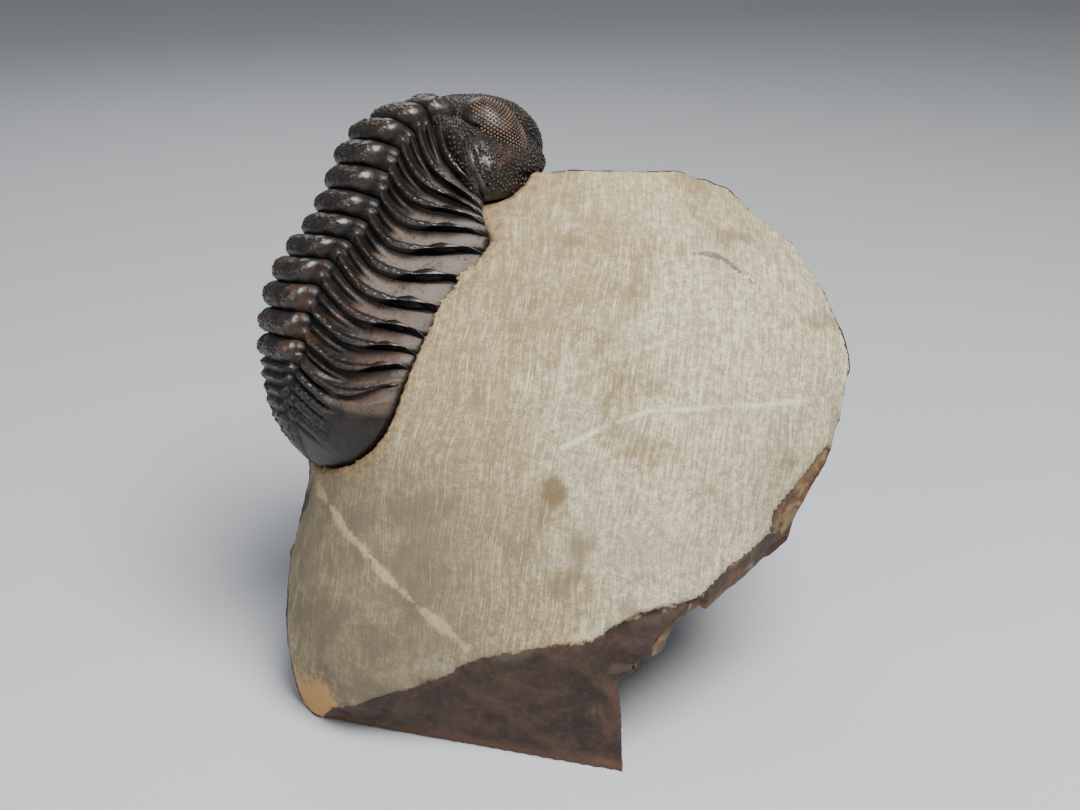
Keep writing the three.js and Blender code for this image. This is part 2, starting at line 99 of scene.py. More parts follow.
# Rows along the body: station, then (dorsal, up) of ring crest, furrow beside the axis, bend of the rib
# and rib tip, and the half width.
STATIONS = np.array([
    [-1.0, 8.6, 24.5, 8.4, 21.6, 11.9, 17.6, 6.3, 13.4, 14.6],
    [-0.3, 12.3, 23.8, 10.9, 21.6, 12.8, 15.6, 6.6, 12.5, 14.8],
    [0.5, 15.6, 21.5, 13.2, 20.4, 13.6, 13.4, 6.6, 11.3, 15],
    [1.5, 18.3, 18.4, 14.9, 18.0, 14.3, 11.1, 6.0, 10.0, 15],
    [2.5, 19.7, 14.8, 15.9, 14.9, 14.7, 8.6, 5.3, 8.5, 15],
    [3.5, 20.2, 11.4, 16.0, 11.4, 15.4, 6.0, 5.1, 6.3, 15],
    [4.5, 20.6, 8.2, 16.6, 8.2, 16.1, 3.4, 5.9, 2.4, 15],
    [5.5, 21.4, 5.1, 17.6, 5.3, 16.5, 0.6, 7.6, -2.0, 15],
    [6.5, 22.5, 2.0, 19.2, 2.5, 16.6, -2.8, 9.4, -5.4, 15],
    [7.5, 23.5, -1.4, 20.7, -0.7, 16.4, -6.2, 10.1, -7.6, 15],
    [8.5, 23.8, -4.9, 21.3, -4.4, 16.1, -9.4, 10.5, -9.5, 15],
    [9.5, 23.4, -8.3, 21.2, -8.0, 15.9, -12.5, 10.8, -11.8, 14.9],
    [10.5, 22.6, -11.4, 20.8, -11.2, 15.8, -15.5, 11.1, -14.7, 14.7],
    [11.5, 21.9, -14.2, 20.4, -14.0, 15.6, -17.6, 11.5, -17.4, 14.2],
    [12.5, 20.7, -17.2, 19.3, -17.2, 15.2, -19.6, 11.8, -19.9, 12.6],
    [13.5, 18.7, -20.2, 17.6, -20.2, 14.8, -21.8, 12.2, -22.2, 9.4],
    [14.3, 16.3, -22.6, 15.6, -22.5, 14.1, -23.2, 12.8, -23.6, 5.2],
    [14.8, 13.9, -24.0, 13.8, -24.0, 13.4, -24.1, 12.9, -24.3, 1.2],
])


def frame_shift():
    """Where the leaning frame's origin lies across the row frame, in mm, from the block's own box."""
    low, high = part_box("matrix")
    return low[0] / MM + BLOCK_LEFT, high[1] / MM - MATRIX_BACK


def placed(points):
    """Points of the leaning frame, in mm, as points of the row frame, in metres."""
    x, up, out = points[..., 0], points[..., 1], points[..., 2]
    shift_x, shift_y = frame_shift()
    y = up * math.sin(LEAN) - out * math.cos(LEAN)
    z = up * math.cos(LEAN) + out * math.sin(LEAN) - BASE_LEVEL
    return np.stack([x + shift_x, y + shift_y, z], axis=-1) * MM


def leaning(points):
    """The reverse of placed: metres in the row frame to millimetres in the leaning frame."""
    shift_x, shift_y = frame_shift()
    x = points[..., 0] / MM - shift_x
    y = points[..., 1] / MM - shift_y
    z = points[..., 2] / MM + BASE_LEVEL
    up = y * math.sin(LEAN) + z * math.cos(LEAN)
    out = -y * math.cos(LEAN) + z * math.sin(LEAN)
    return np.stack([x, up, out], axis=-1)


def body_point(dorsal, up, side):
    """A point of the leaning frame from dorsal, up and sideways coordinates of the animal."""
    return (BODY_ORIGIN + dorsal[..., None] * DORSAL + up[..., None] * UPWARD + side[..., None] * FLANK)


def along(at):
    """Every station measure at each position along the body, by a smooth curve through the rows."""
    at = np.asarray(at, dtype=float)
    rows = STATIONS[:, 0]
    i = np.clip(np.searchsorted(rows, at, side="left") - 1, 0, len(rows) - 2)
    t = ((at - rows[i]) / (rows[i + 1] - rows[i]))[..., None]
    last = len(rows) - 1
    p0 = STATIONS[np.clip(i - 1, 0, last), 1:]
    p1 = STATIONS[i, 1:]
    p2 = STATIONS[i + 1, 1:]
    p3 = STATIONS[np.clip(i + 2, 0, last), 1:]
    bend = (p2 - p0) * t + (2 * p0 - 5 * p1 + 4 * p2 - p3) * t**2 + (3 * p1 - p0 - 3 * p2 + p3) * t**3
    return p1 + bend / 2


def shell_point(at, side):
    """The smooth shell at a station and a sideways reach: a rounded axis, then ribs that bend down."""
    at, side = np.broadcast_arrays(np.asarray(at, float), np.asarray(side, float))
    m = along(at)
    width = m[..., 8] / HALF_WIDTH
    reach = np.abs(side)
    t = np.clip(reach / AXIS_HALF, 0, 1)
    drop = 1 - np.sqrt(np.clip(1 - t**2.4 * 0.995, 0, 1))
    linear = HALF_WIDTH - AXIS_HALF
    lead = 2 * (FULCRUM - AXIS_HALF)
    wanted = np.clip(reach - AXIS_HALF, 0, linear)
    square = linear - lead
    q = (np.sqrt(np.clip(lead * lead + 4 * square * wanted, 0, None)) - lead) / (2 * square)
    q = np.where(wanted >= linear, 1.0, q)
    both = []
    for k in (0, 1):
        crest, furrow, bend, tip = m[..., k], m[..., 2 + k], m[..., 4 + k], m[..., 6 + k]
        axis = crest + (furrow - crest) * drop
        rib = (1 - q) ** 2 * furrow + 2 * q * (1 - q) * bend + q**2 * tip
        both.append(np.where(reach <= AXIS_HALF, axis, rib))
    return body_point(both[0], both[1], side * width)


def shell_normal(at, side):
    """Which way the smooth shell faces, from steps of h along and across it."""
    h = 0.05
    s = np.clip(side, -HALF_WIDTH + 6 * h, HALF_WIDTH - 6 * h)
    across = shell_point(at, s + h) - shell_point(at, s - h)
    length = shell_point(np.minimum(at + h, TAIL_END), s) - shell_point(at - h, s)
    n = np.cross(length, across)
    return n / np.linalg.norm(n, axis=-1, keepdims=True)


def floor_point(at, side, depth):
    """The underside, straight between the two rib tips."""
    at, side = np.broadcast_arrays(np.asarray(at, float), np.asarray(side, float))
    m = along(at)
    inward = np.stack([m[..., 6] - m[..., 0], m[..., 7] - m[..., 1]], axis=-1)
    inward /= np.linalg.norm(inward, axis=-1, keepdims=True)
    width = m[..., 8] / HALF_WIDTH
    return body_point(m[..., 6] + inward[..., 0] * depth, m[..., 7] + inward[..., 1] * depth, side * width)


# ----------------------------------------------------------------------------------------------------
# Seeded smooth noise, worked out on the points of a mesh.


def lattice_value(i, j, k, seed):
    """A repeatable value between 0 and 1 for each lattice corner."""
    n = (i * 73856093) ^ (j * 19349663) ^ (k * 83492791) ^ (seed * 2654435)
    n = (n ^ (n >> 13)) * 1274126177
    n = n & 0x7FFFFFFF
    return ((n ^ (n >> 16)) & 0xFFFF) / 65535.0


def noise(points, size, seed):
    """Smooth noise between -1 and 1 whose lumps measure about size millimetres."""
    p = points / size
    base = np.floor(p).astype(np.int64)
    f = p - base
    f = f * f * (3 - 2 * f)
    total = 0.0
    for dx in (0, 1):
        for dy in (0, 1):
            for dz in (0, 1):
                weight = np.abs(1 - dx - f[..., 0]) * np.abs(1 - dy - f[..., 1]) * np.abs(1 - dz - f[..., 2])
                corner = lattice_value(base[..., 0] + dx, base[..., 1] + dy, base[..., 2] + dz, seed)
                total = total + weight * corner
    return total * 2 - 1


def rough(points, size, seed, octaves=4, keep=0.5):
    """Several sizes of noise added, each half as large and keep times as strong as the one before."""
    total, strength, whole = 0.0, 1.0, 0.0
    for octave in range(octaves):
        total = total + strength * noise(points, size / 2**octave, seed + octave * 17)
        whole += strength
        strength *= keep
    return total / whole


def smooth(x, low, high):
    """Rises smoothly from 0 at low to 1 at high."""
    t = np.clip((x - low) / (high - low), 0, 1)
    return t * t * (3 - 2 * t)


def hump(x, middle, spread):
    """A bell that stands 1 high in the middle."""
    return np.exp(-(((x - middle) / spread) ** 2))


# ----------------------------------------------------------------------------------------------------
# Making objects.


def make_object(name, points, faces, attributes, material, node):
    """A smooth shaded piece from points in metres and faces, with one number per point for each name."""
    mesh = bpy.data.meshes.new(name)
    faces = np.asarray(faces)
    mesh.vertices.add(len(points))
    mesh.vertices.foreach_set("co", np.asarray(points, dtype=np.float32).ravel())
    corners = faces.shape[1]
    mesh.loops.add(faces.size)
    mesh.loops.foreach_set("vertex_index", faces.ravel().astype(np.int32))
    mesh.polygons.add(len(faces))
    mesh.polygons.foreach_set("loop_start", np.arange(0, faces.size, corners, dtype=np.int32))
    mesh.polygons.foreach_set("use_smooth", np.ones(len(faces), dtype=bool))
    mesh.update(calc_edges=True)
    mesh.validate()
    store(mesh, attributes)
    mesh.materials.append(material)
    return settle(linked(name, mesh), node)


def store(mesh, attributes):
    """Keeps one number per point on the mesh under each name, for the materials to read."""
    for key, values in attributes.items():
        layer = mesh.attributes.new(key, "FLOAT", "POINT")
        layer.data.foreach_set("value", np.asarray(values, dtype=np.float32).ravel())


def linked(name, data):
    """A new object of the scene."""
    obj = bpy.data.objects.new(name, data)
    bpy.context.scene.collection.objects.link(obj)
    return obj


def settle(obj, node):
    """Ties a finished piece to the body it rides on, and hides the CAD plate that it stands for."""
    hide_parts(node)
    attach(obj, "root")
    return obj


def modified(name, mesh, kind, settings):
    """The plain mesh that a modifier makes of a mesh. Settings are its properties or its node inputs."""
    host = linked(name + "_host", mesh)
    modifier = host.modifiers.new(kind.title(), kind)
    for key, value in settings.items():
        if hasattr(modifier, key):
            setattr(modifier, key, value)
        else:
            modifier[key] = value
    bpy.context.view_layer.update()
    seen = host.evaluated_get(bpy.context.evaluated_depsgraph_get())
    plain = bpy.data.meshes.new_from_object(seen)
    host.modifiers.remove(modifier)
    bpy.data.objects.remove(host)
    plain.name = name
    return plain


def nearest_of(points):
    """A search tree that finds the nearest of these points."""
    tree = KDTree(len(points))
    for index, point in enumerate(points):
        tree.insert(Vector(point), index)
    tree.balance()
    return tree


def grid_quads(rows, columns, closed=False):
    """Faces between the points of a grid, row after row; a closed grid joins its last column to its first."""
    i = np.arange(rows - 1)[:, None] * columns
    j = np.arange(columns if closed else columns - 1)[None, :]
    k = (j + 1) % columns
    return np.stack([i + j, i + k, i + k + columns, i + j + columns], axis=-1).reshape(-1, 4)


def outward(points, faces):
    """The faces, turned so that the closed skin faces outwards."""
    corners = [points[faces[:, k]] for k in range(faces.shape[1])]
    pairs = zip(corners[1:], corners[2:])
    volume = sum(np.einsum("ij,ij->", corners[0], np.cross(b, c)) for b, c in pairs)
    return faces if volume > 0 else faces[:, ::-1]


def loops_to_faces(count, loops):
    """Faces of a closed skin made of loops of count points; each loop is shell points, then underside."""
    j = np.arange(count // 2 - 1)
    mirror = count - 1 - j
    front = np.stack([j, mirror, mirror - 1, j + 1], axis=-1)
    rear = np.stack([j + 1, mirror - 1, mirror, j], axis=-1) + (loops - 1) * count
    return np.concatenate([grid_quads(loops, count, closed=True), front, rear])


def knobs(points, centres, radii, heights):
    """Rounded knobs: how far each point is raised by the nearest of the seeded centres."""
    tree = nearest_of(centres)
    rise = np.zeros(len(points))
    for index, point in enumerate(points):
        _, nearest, distance = tree.find(point)
        r = radii[nearest]
        if distance < r:
            rise[index] = heights[nearest] * (1 - (distance / r) ** 2) ** 1.5
    return rise


# ----------------------------------------------------------------------------------------------------
# Shader trees: a field wraps one socket so that its maths can be written as plain expressions.


class Field:
    def __init__(self, sheet, socket):
        self.sheet = sheet
        self.socket = socket

    def _join(self, operation, *values):
        made = self.sheet.node("ShaderNodeMath", {"operation": operation}, dict(enumerate(values)))
        return Field(self.sheet, made.outputs[0])

    def __add__(self, other):
        return self._join("ADD", self, other)

    __radd__ = __add__

    def __sub__(self, other):
        return self._join("SUBTRACT", self, other)

    def __rsub__(self, other):
        return self._join("SUBTRACT", other, self)

    def __mul__(self, other):
        return self._join("MULTIPLY", self, other)

    __rmul__ = __mul__

    def below(self, other):
        """The smaller of the two."""
        return self._join("MINIMUM", self, other)

    def step(self, low, high):
        """Rises smoothly from 0 at low to 1 at high; falls where low is the larger."""
        flip = low > high
        values = {"Value": self, "From Min": min(low, high), "From Max": max(low, high),
                  "To Min": 1.0 if flip else 0.0, "To Max": 0.0 if flip else 1.0}
        made = self.sheet.node("ShaderNodeMapRange", {"interpolation_type": "SMOOTHSTEP"}, values)
        return Field(self.sheet, made.outputs[0])


class Sheet:
    def __init__(self, tree):
        self.tree = tree

    def node(self, kind, settings=None, values=None):
        """Adds a node, sets its properties, then sets or links its inputs by name or number."""
        made = self.tree.nodes.new(kind)
        for key, value in (settings or {}).items():
            setattr(made, key, value)
        for key, value in (values or {}).items():
            socket = made.inputs[key]
            if isinstance(value, Field):
                value = value.socket
            if isinstance(value, bpy.types.NodeSocket):
                self.tree.links.new(value, socket)
            else:
                socket.default_value = value
        return made

    def read(self, name):
        """A number stored on the mesh."""
        return Field(self, self.node("ShaderNodeAttribute", {"attribute_name": name}).outputs["Fac"])

    def place(self):
        """Object coordinates in millimetres."""
        spot = self.node("ShaderNodeTexCoord").outputs["Object"]
        scale = (1 / MM, 1 / MM, 1 / MM)
        return self.node("ShaderNodeVectorMath", {"operation": "MULTIPLY"}, {0: spot, 1: scale}).outputs[0]

    def vector(self, x, y, z):
        return self.node("ShaderNodeCombineXYZ", {}, {"X": x, "Y": y, "Z": z}).outputs[0]

    def noise(self, vector, size, detail=4.0, roughness=0.55, warp=0.0):
        """Noise about 0 to 1 whose lumps measure about size in the units of the vector."""
        values = {"Vector": vector, "Scale": 1.0 / size, "Detail": detail, "Roughness": roughness}
        made = self.node("ShaderNodeTexNoise", {}, values | {"Distortion": warp})
        return Field(self, made.outputs["Fac"])

    def cells(self, vector, size):
        """Distance to the middle of the nearest cell of about that size."""
        made = self.node("ShaderNodeTexVoronoi", {}, {"Vector": vector, "Scale": 1.0 / size})
        return Field(self, made.outputs["Distance"])

    def mix(self, factor, a, b, blend="MIX"):
        """A colour between a and b; each is a colour socket or three numbers."""
        a, b = (c if isinstance(c, bpy.types.NodeSocket) else (*c, 1.0) for c in (a, b))
        made = self.node("ShaderNodeMix", {"data_type": "RGBA", "blend_type": blend}, {0: factor, 6: a, 7: b})
        return made.outputs[2]

    def bump(self, height, distance, strength, under=None):
        """Small relief, distance metres high, laid over the relief under it where given."""
        values = {"Height": height, "Distance": distance, "Strength": strength}
        if under is not None:
            values["Normal"] = under
        return self.node("ShaderNodeBump", {}, values).outputs["Normal"]

    def surface(self, values):
        """Ends the sheet in a shader with these inputs."""
        shader = self.node("ShaderNodeBsdfPrincipled", {}, values)
        self.node("ShaderNodeOutputMaterial", {}, {"Surface": shader.outputs[0]})


def new_sheet(name):
    material = bpy.data.materials.new(name)
    material.use_nodes = True
    material.node_tree.nodes.clear()
    return material, Sheet(material.node_tree)


def shell_material(props):
    material, s = new_sheet("fossil_shell")
    spot = s.place()
    facet, rust, ridge, hollow = (s.read(k) for k in ("facet", "rust", "ridge", "hollow"))
    broad = s.noise(spot, 3.2, 4.0)
    speck = s.noise(spot, 0.45, 3.0, 0.6)
    grain = s.noise(spot, 0.12, 2.0)
    warm = (ridge * 0.65 + broad.step(0.42, 0.68) * 0.5) * (speck.step(0.3, 0.62) * 0.6 + 0.4)
    colour = s.mix(warm.below(1.0), props.shell_dark, props.shell_brown)
    worn = (ridge * speck.step(0.56, 0.7) * broad.step(0.45, 0.6)) * 0.55
    colour = s.mix(worn, colour, props.shell_worn)
    # Smooth facets: their own paler grey and rust, lightened further as painted light where they face up
    # towards the light.
    facet_colour = s.mix(rust * (broad.step(0.3, 0.6) * 0.5 + 0.5), props.facet_grey, props.facet_rust)
    patch = (facet * (speck * 0.7 + broad * 0.8 - 0.2).step(0.28, 0.58)).below(1.0)
    colour = s.mix(patch * 0.8, colour, facet_colour)
    stained = rust * (1.0 - facet) * broad.step(0.5, 0.66) * 0.2
    colour = s.mix(stained, colour, props.facet_rust)
    colour = s.mix(hollow * broad.step(0.45, 0.7) * 0.22, colour, props.seat_brown)
    roughness = 0.24 + speck * 0.16 + facet * 0.22 + hollow * 0.2 + (1.0 - ridge) * 0.08
    bumped = s.bump(s.cells(spot, 0.42) * 0.4 + speck * 0.6, 0.00012, 0.5)
    bumped = s.bump(grain, 0.00003, 0.5, bumped)
    s.surface({"Base Color": colour, "Roughness": roughness, "Normal": bumped, "IOR": 1.5,
               "Specular IOR Level": 0.38, "Coat Weight": ridge * (1.0 - facet) * 0.3,
               "Coat Roughness": 0.25})
    return material


def granule_material(props):
    material, s = new_sheet("granule_shell")
    spot = s.place()
    broad = s.noise(spot, 3.0, 3.0)
    speck = s.noise(spot, 0.5, 3.0)
    colour = s.mix(broad.step(0.4, 0.66), props.shell_dark, props.shell_brown)
    colour = s.mix(speck.step(0.5, 0.7) * 0.35, colour, props.shell_worn)
    bumped = s.bump(s.noise(spot, 0.12, 2.0), 0.00003, 0.5)
    s.surface({"Base Color": colour, "Roughness": 0.32 + speck * 0.18, "Normal": bumped, "IOR": 1.5,
               "Specular IOR Level": 0.4})
    return material


def lens_material(props):
    material, s = new_sheet("lens_calcite")
    spot = s.place()
    patchy = s.noise(spot, 1.6, 4.0)
    speck = s.noise(spot, 0.25, 2.0)
    colour = s.mix(patchy.step(0.38, 0.62), props.lens_dark, props.lens_brown)
    bumped = s.bump(speck, 0.00004, 0.4)
    s.surface({"Base Color": colour, "Roughness": 0.34 + speck * 0.2, "Normal": bumped, "IOR": 1.6})
    return material


def ground_face_colour(s, props, place, noises, scratch, score):
    """The ground face: pale and streaked, blotched with tan, and darkened towards its lower left by painted
    shade, as that part turns away from the light.
    """
    across, upward, forward = place
    broad, patch, fine, grain = noises
    worked = (patch * 0.6 + broad * 0.6).step(0.42, 0.62) * 0.55 + 0.45
    streak = (scratch * 0.38 + score * 0.32 + fine * 0.3).step(0.41, 0.6)
    pale = s.mix(streak * worked, props.stone_grey, props.stone_pale)
    tan = (patch * 0.3 + broad * 0.7 + (19.0 - across) * 0.006).step(0.47, 0.57)
    pale = s.mix(tan * (0.9 - streak * 0.4), pale, props.stone_tan)
    pale = s.mix((grain + fine * 0.4).step(0.78, 0.62) * 0.3, pale, props.stone_shade)
    pale = s.mix(upward.step(58.0, 69.0) * 0.35, pale, props.stone_tan)
    smudge = s.noise(s.vector(across + 31.0, upward * 0.8, forward), 8.0, 3.0, 0.6, 0.3).step(0.55, 0.7)
    pale = s.mix(smudge * (fine.step(0.3, 0.6) * 0.35 + 0.4), pale, props.stone_stain)
    # Painted shade: the lower left of the ground face turns away from the light, so it is darkened here, and
    # its light scratches are dimmed there below.
    painted_shade_low_left = upward.step(41.0, 28.0) * (across + broad * 12.0).step(19.0, 1.0)
    painted_shade_low_left = painted_shade_low_left * (1.0 - (across + upward * 0.35 + patch * 6.0).step(-9.0, -15.5) * 0.6)
    pale = s.mix(painted_shade_low_left * (patch.step(0.38, 0.62) * 0.42 + 0.5), pale, props.stone_shade)
    pale = s.mix(score.step(0.56, 0.78) * worked * (0.55 - painted_shade_low_left * 0.42), pale, props.stone_light)
    pale = s.mix(fine.step(0.62, 0.4) * 0.12, pale, props.stone_shade)
    return pale


def marked_colour(s, props, place, noises, wobble, pale):
    """What shows on the ground face: a brown stain, the vein, a light seam, a crack and an orange toe."""
    across, upward, _ = place
    broad, patch, fine, grain = noises
    spot_gap = (s.read("stain") + (patch - 0.5) * 2.0).step(2.6, 1.2)
    pale = s.mix(spot_gap * 0.9, pale, props.stone_stain)
    vein = (s.read("vein") + wobble * 0.8 + (broad - 0.5) * 1.6).step(0.8, 0.3)
    pale = s.mix(vein * (fine.step(0.3, 0.6) * 0.4 + 0.5), pale, props.stone_vein)
    seam = (s.read("seam") + wobble * 0.45).step(0.4, 0.1)
    pale = s.mix(seam * patch.step(0.33, 0.55) * 0.6, pale, props.stone_light)
    crack = (s.read("crack") + wobble * 0.4 + (grain - 0.5) * 0.5).step(0.34, 0.06)
    pale = s.mix(crack * (fine.step(0.35, 0.5) * 0.6 + 0.4), pale, props.stone_shade)
    toe = upward.step(12.5, 3.5) * across.step(-11.0, -16.5)
    toe = (toe + (fine - 0.5) * 1.1 + (patch - 0.5) * 0.9).step(0.4, 0.78) * upward.step(14.0, 12.0)
    pale = s.mix(toe * across.step(-9.0, -11.0), pale, props.stone_orange)
    return pale


def weathered_colour(s, props, place, noises):
    """The natural skin everywhere else: reddish brown over dark, with tan bruises, and a painted shadow just
    below the broken edge.
    """
    _, upward, forward = place
    broad, patch, fine, _ = noises
    brown = s.mix(patch.step(0.35, 0.65), props.stone_brown, props.stone_dark)
    brown = s.mix(fine.step(0.5, 0.75) * 0.35, brown, props.stone_rust)
    # Painted shadow: the broken face is darkened in a band just below the ground face's edge; the skin is
    # also darker where it is pushed in.
    brown = s.mix(s.read("hollow") * 0.55, brown, props.stone_dark)
    brown = s.mix(broad.step(0.55, 0.72) * 0.4, brown, props.stone_shade)
    broken = s.read("broken")
    brown = s.mix(broken * (patch * 1.2 + broad - 0.3).step(0.55, 0.9) * 0.8, brown, props.stone_bark)
    bruise = broken * (patch + (fine - 0.5) * 0.5).step(0.52, 0.64)
    brown = s.mix(bruise * 0.75, brown, props.stone_tan)
    height = upward * math.cos(LEAN) + forward * math.sin(LEAN) - BASE_LEVEL
    brown = s.mix((height + (fine - 0.5) * 3.0).step(2.2, 0.2) * 0.55, brown, props.stone_rust)
    return brown


def stone_material(props):
    material, s = new_sheet("limestone")
    across, upward, forward = s.read("across"), s.read("upward"), s.read("outward")
    spot = s.vector(across, upward, forward)
    broad = s.noise(spot, 14.0, 4.0, 0.55, 0.4)
    patch = s.noise(spot, 4.5, 5.0, 0.6, 0.3)
    fine = s.noise(spot, 0.8, 4.0, 0.65)
    grain = s.noise(spot, 0.2, 2.0)
    drift = s.noise(spot, 22.0, 2.0)
    slanted = upward + across * 0.12
    tilted = across - upward * 0.14 + (drift - 0.5) * 5.0
    scratch = s.noise(s.vector(tilted * 2.1, slanted * 0.13, forward * 0.3), 0.85, 4.0, 0.72)
    score = s.noise(s.vector(tilted * 4.6, slanted * 0.22, forward * 0.5), 0.9, 3.0, 0.65)
    place, noises = (across, upward, forward), (broad, patch, fine, grain)
    wobble = (patch - 0.5) * 3.2 + (fine - 0.5) * 2.4
    pale = ground_face_colour(s, props, place, noises, scratch, score)
    pale = marked_colour(s, props, place, noises, wobble, pale)
    brown = weathered_colour(s, props, place, noises)
    ground = (s.read("ground") + (fine - 0.5) * 0.4 + (patch - 0.5) * 0.3).step(0.4, 0.54)
    ground = ground * (s.read("edge") + (fine - 0.5) * 0.7 + (patch - 0.5) * 0.5).step(0.12, -0.05)
    colour = s.mix(ground, brown, pale)
    seat = (s.read("near") + wobble * 0.9 + (broad - 0.5) * 6.0).step(3.8, 0.8) * 0.8
    colour = s.mix(seat, colour, s.mix(fine.step(0.35, 0.6), props.seat_brown, props.stone_tan))
    colour = s.mix(grain.step(0.3, 0.75) * 0.22, colour, props.stone_light, "SOFT_LIGHT")
    rise = fine * 0.5 + grain * 0.25 + s.cells(spot, 0.9) * (1.0 - ground) * 0.5
    bumped = s.bump(rise, 0.00022, 0.6)
    bumped = s.bump((scratch + score) * ground, 0.00008, 0.5, bumped)
    roughness = 0.86 - (1.0 - ground) * 0.14 - fine * 0.08
    s.surface({"Base Color": colour, "Roughness": roughness, "Normal": bumped, "IOR": 1.45})
    return material


def floor_material(props):
    material, s = new_sheet("paper_floor")
    spot = s.place()
    soft = s.noise(spot, 40.0, 3.0)
    fibre = s.noise(spot, 0.6, 3.0)
    colour = s.mix(soft * 0.5 + fibre * 0.3, props.floor_pale, [c * 0.95 for c in props.floor_pale])
    s.surface({"Base Color": colour, "Roughness": 0.9, "Normal": s.bump(fibre, 0.00005, 0.3)})
    return material


_materials = {}


def material(kind, props):
    if kind not in _materials:
        makers = {"shell": shell_material, "granule": granule_material, "lens": lens_material,
                  "stone": stone_material, "floor": floor_material}
        _materials[kind] = makers[kind](props)
    return _materials[kind]


# ----------------------------------------------------------------------------------------------------
# Plates of the thorax and the tail. Millimetres.

KNOB_RADII = (0.16, 0.36)
KNOB_HEIGHTS = (0.08, 0.17)
KNOB_USUAL_RADIUS = 0.26
SKIRT_DEPTH = 1.3
UNDERSIDE_DEPTH = 0.9


def segment_relief(u, side):
    """Height of one segment's ring and rib above the smooth shell. u runs 0 to 1 from front to rear."""
    reach = np.abs(side)
    arch = np.sin(np.pi * np.clip((u - 0.02) / 0.98, 0, 1)) ** 0.42
    lobe = 1 + 0.3 * hump(reach, 4.6, 1.0) - 0.14 * hump(reach, 2.7, 0.8)
    ring = -0.72 + 1.18 * arch * lobe
    inner = -0.75 + 0.62 * hump(u, 0.24, 0.15) + 1.25 * hump(u, 0.72, 0.2) - 0.45 * hump(u, 0.46, 0.08)
    facet = -1.15 + 0.65 * smooth(u, -0.05, 0.66)
    lip = 0.62 + 0.08 * smooth(reach, 12.0, 14.6)
    outer = facet + 0.95 * smooth(u - lip, 0, 0.12) - 0.75 * smooth(u, 0.92, 1.03)
    outwards = smooth(reach, 8.4, 12.2)
    rib = inner * (1 - outwards) + outer * outwards
    rib = rib - 0.5 * smooth(u, 0.93, 1.02) * (1 - outwards)
    beside = smooth(reach, 5.8, 6.8)
    height = ring * (1 - beside) + rib * beside - 0.7 * hump(reach, 6.25, 0.5)
    tuck = -0.5 * smooth(-u, 0.0, 0.1)
    return (height + tuck) * (1 - 0.5 * smooth(reach, 13.9, 15))


def tail_relief(at, side):
    """Height of the tail shield's rings, ribs and plain border above the smooth shell."""
    reach = np.abs(side)
    along_tail = at - SEGMENTS
    axis_half = 5.9 - 0.75 * along_tail
    beside = smooth(reach, axis_half - 0.3, axis_half + 0.8)
    fade = 1 - smooth(along_tail, 1.6, 3.1)
    ring = (np.abs(np.sin(np.pi * along_tail / 0.5)) ** 1.1 * 0.55 - 0.3) * (0.2 + 0.8 * fade)
    swept = along_tail - 0.035 * np.clip(reach - axis_half, 0, 9)
    groove = np.abs(np.sin(np.pi * swept / 0.56)) ** 0.5
    first = hump(along_tail, 0.0, 0.65)
    rib = (groove - 0.6) * (0.7 * first + 0.75 * fade) * (1 - smooth(reach, 10.0, 12.2))
    border = 0.12 * smooth(reach, 11.8, 12.8) - 0.1 * hump(reach, 11.6, 0.5)
    front_drop = -0.7 * smooth(-along_tail, -0.22, 0.0) * smooth(reach, 8.5, 11)
    furrow = 0.5 * hump(reach, axis_half + 0.25, 0.45) * fade
    height = ring * (1 - beside) + (rib + border * fade) * beside - furrow
    return (height + front_drop) * (1 - 0.75 * smooth(reach, 13.7, 15))


def swept(at, side):
    """Station of a point once the ribs' sweep is added: they trail back, then turn forward at their tips."""
    reach = np.abs(side)
    sweep = -1.35 * np.clip((reach - 8.6) / 6.4, 0, 1) ** 2.3
    settled = 0.25 + 0.75 * smooth(at, -0.5, 3.5)
    return at + sweep * settled * (1 - smooth(at, 10.6, 12.4))


def plate_grid(start, end, lengthwise, sideways, relief):
    """Grid of a plate's skin: rows from front to rear, and columns from left tip to right tip."""
    u = np.concatenate([[-0.16, -0.09, -0.04], np.linspace(0, 1, lengthwise)])
    span = end - start
    s = np.linspace(-1, 1, sideways)
    side = HALF_WIDTH * np.sign(s) * np.abs(s) ** 0.92
    grid_u, grid_side = np.meshgrid(u, side, indexing="ij")
    grid_at = start + grid_u * span
    height = relief(grid_u if relief is segment_relief else grid_at, grid_side)
    ends = np.clip(2 * grid_u - 1, 0, 1) ** 3
    round_tip = 1 - 0.075 * ends * smooth(np.abs(grid_side), 12, 15)
    if relief is tail_relief:
        round_tip = np.ones_like(grid_u)
    skin = shell_point(swept(grid_at, grid_side), grid_side * round_tip)
    normal = shell_normal(np.minimum(swept(grid_at, grid_side), TAIL_END - 0.06), grid_side)
    return round_tip, grid_u, grid_side, grid_at, skin, normal, height


def knob_centres(rng, count, start, end, zones, relief):
    """Seeded places for knobs, each zone given as (front, rear, nearest, furthest from the middle)."""
    points = []
    for front, rear, near, far in zones:
        share = int(count * (far - near) / HALF_WIDTH) + 1
        u = rng.uniform(front, rear, share)
        side = rng.uniform(near, far, share) * rng.choice([-1, 1], share)
        at = start + u * (end - start)
        height = relief(u if relief is segment_relief else at, side)
        bent = swept(at, side)
        points.append(shell_point(bent, side) + shell_normal(bent, side) * height[:, None])
    return np.concatenate(points)


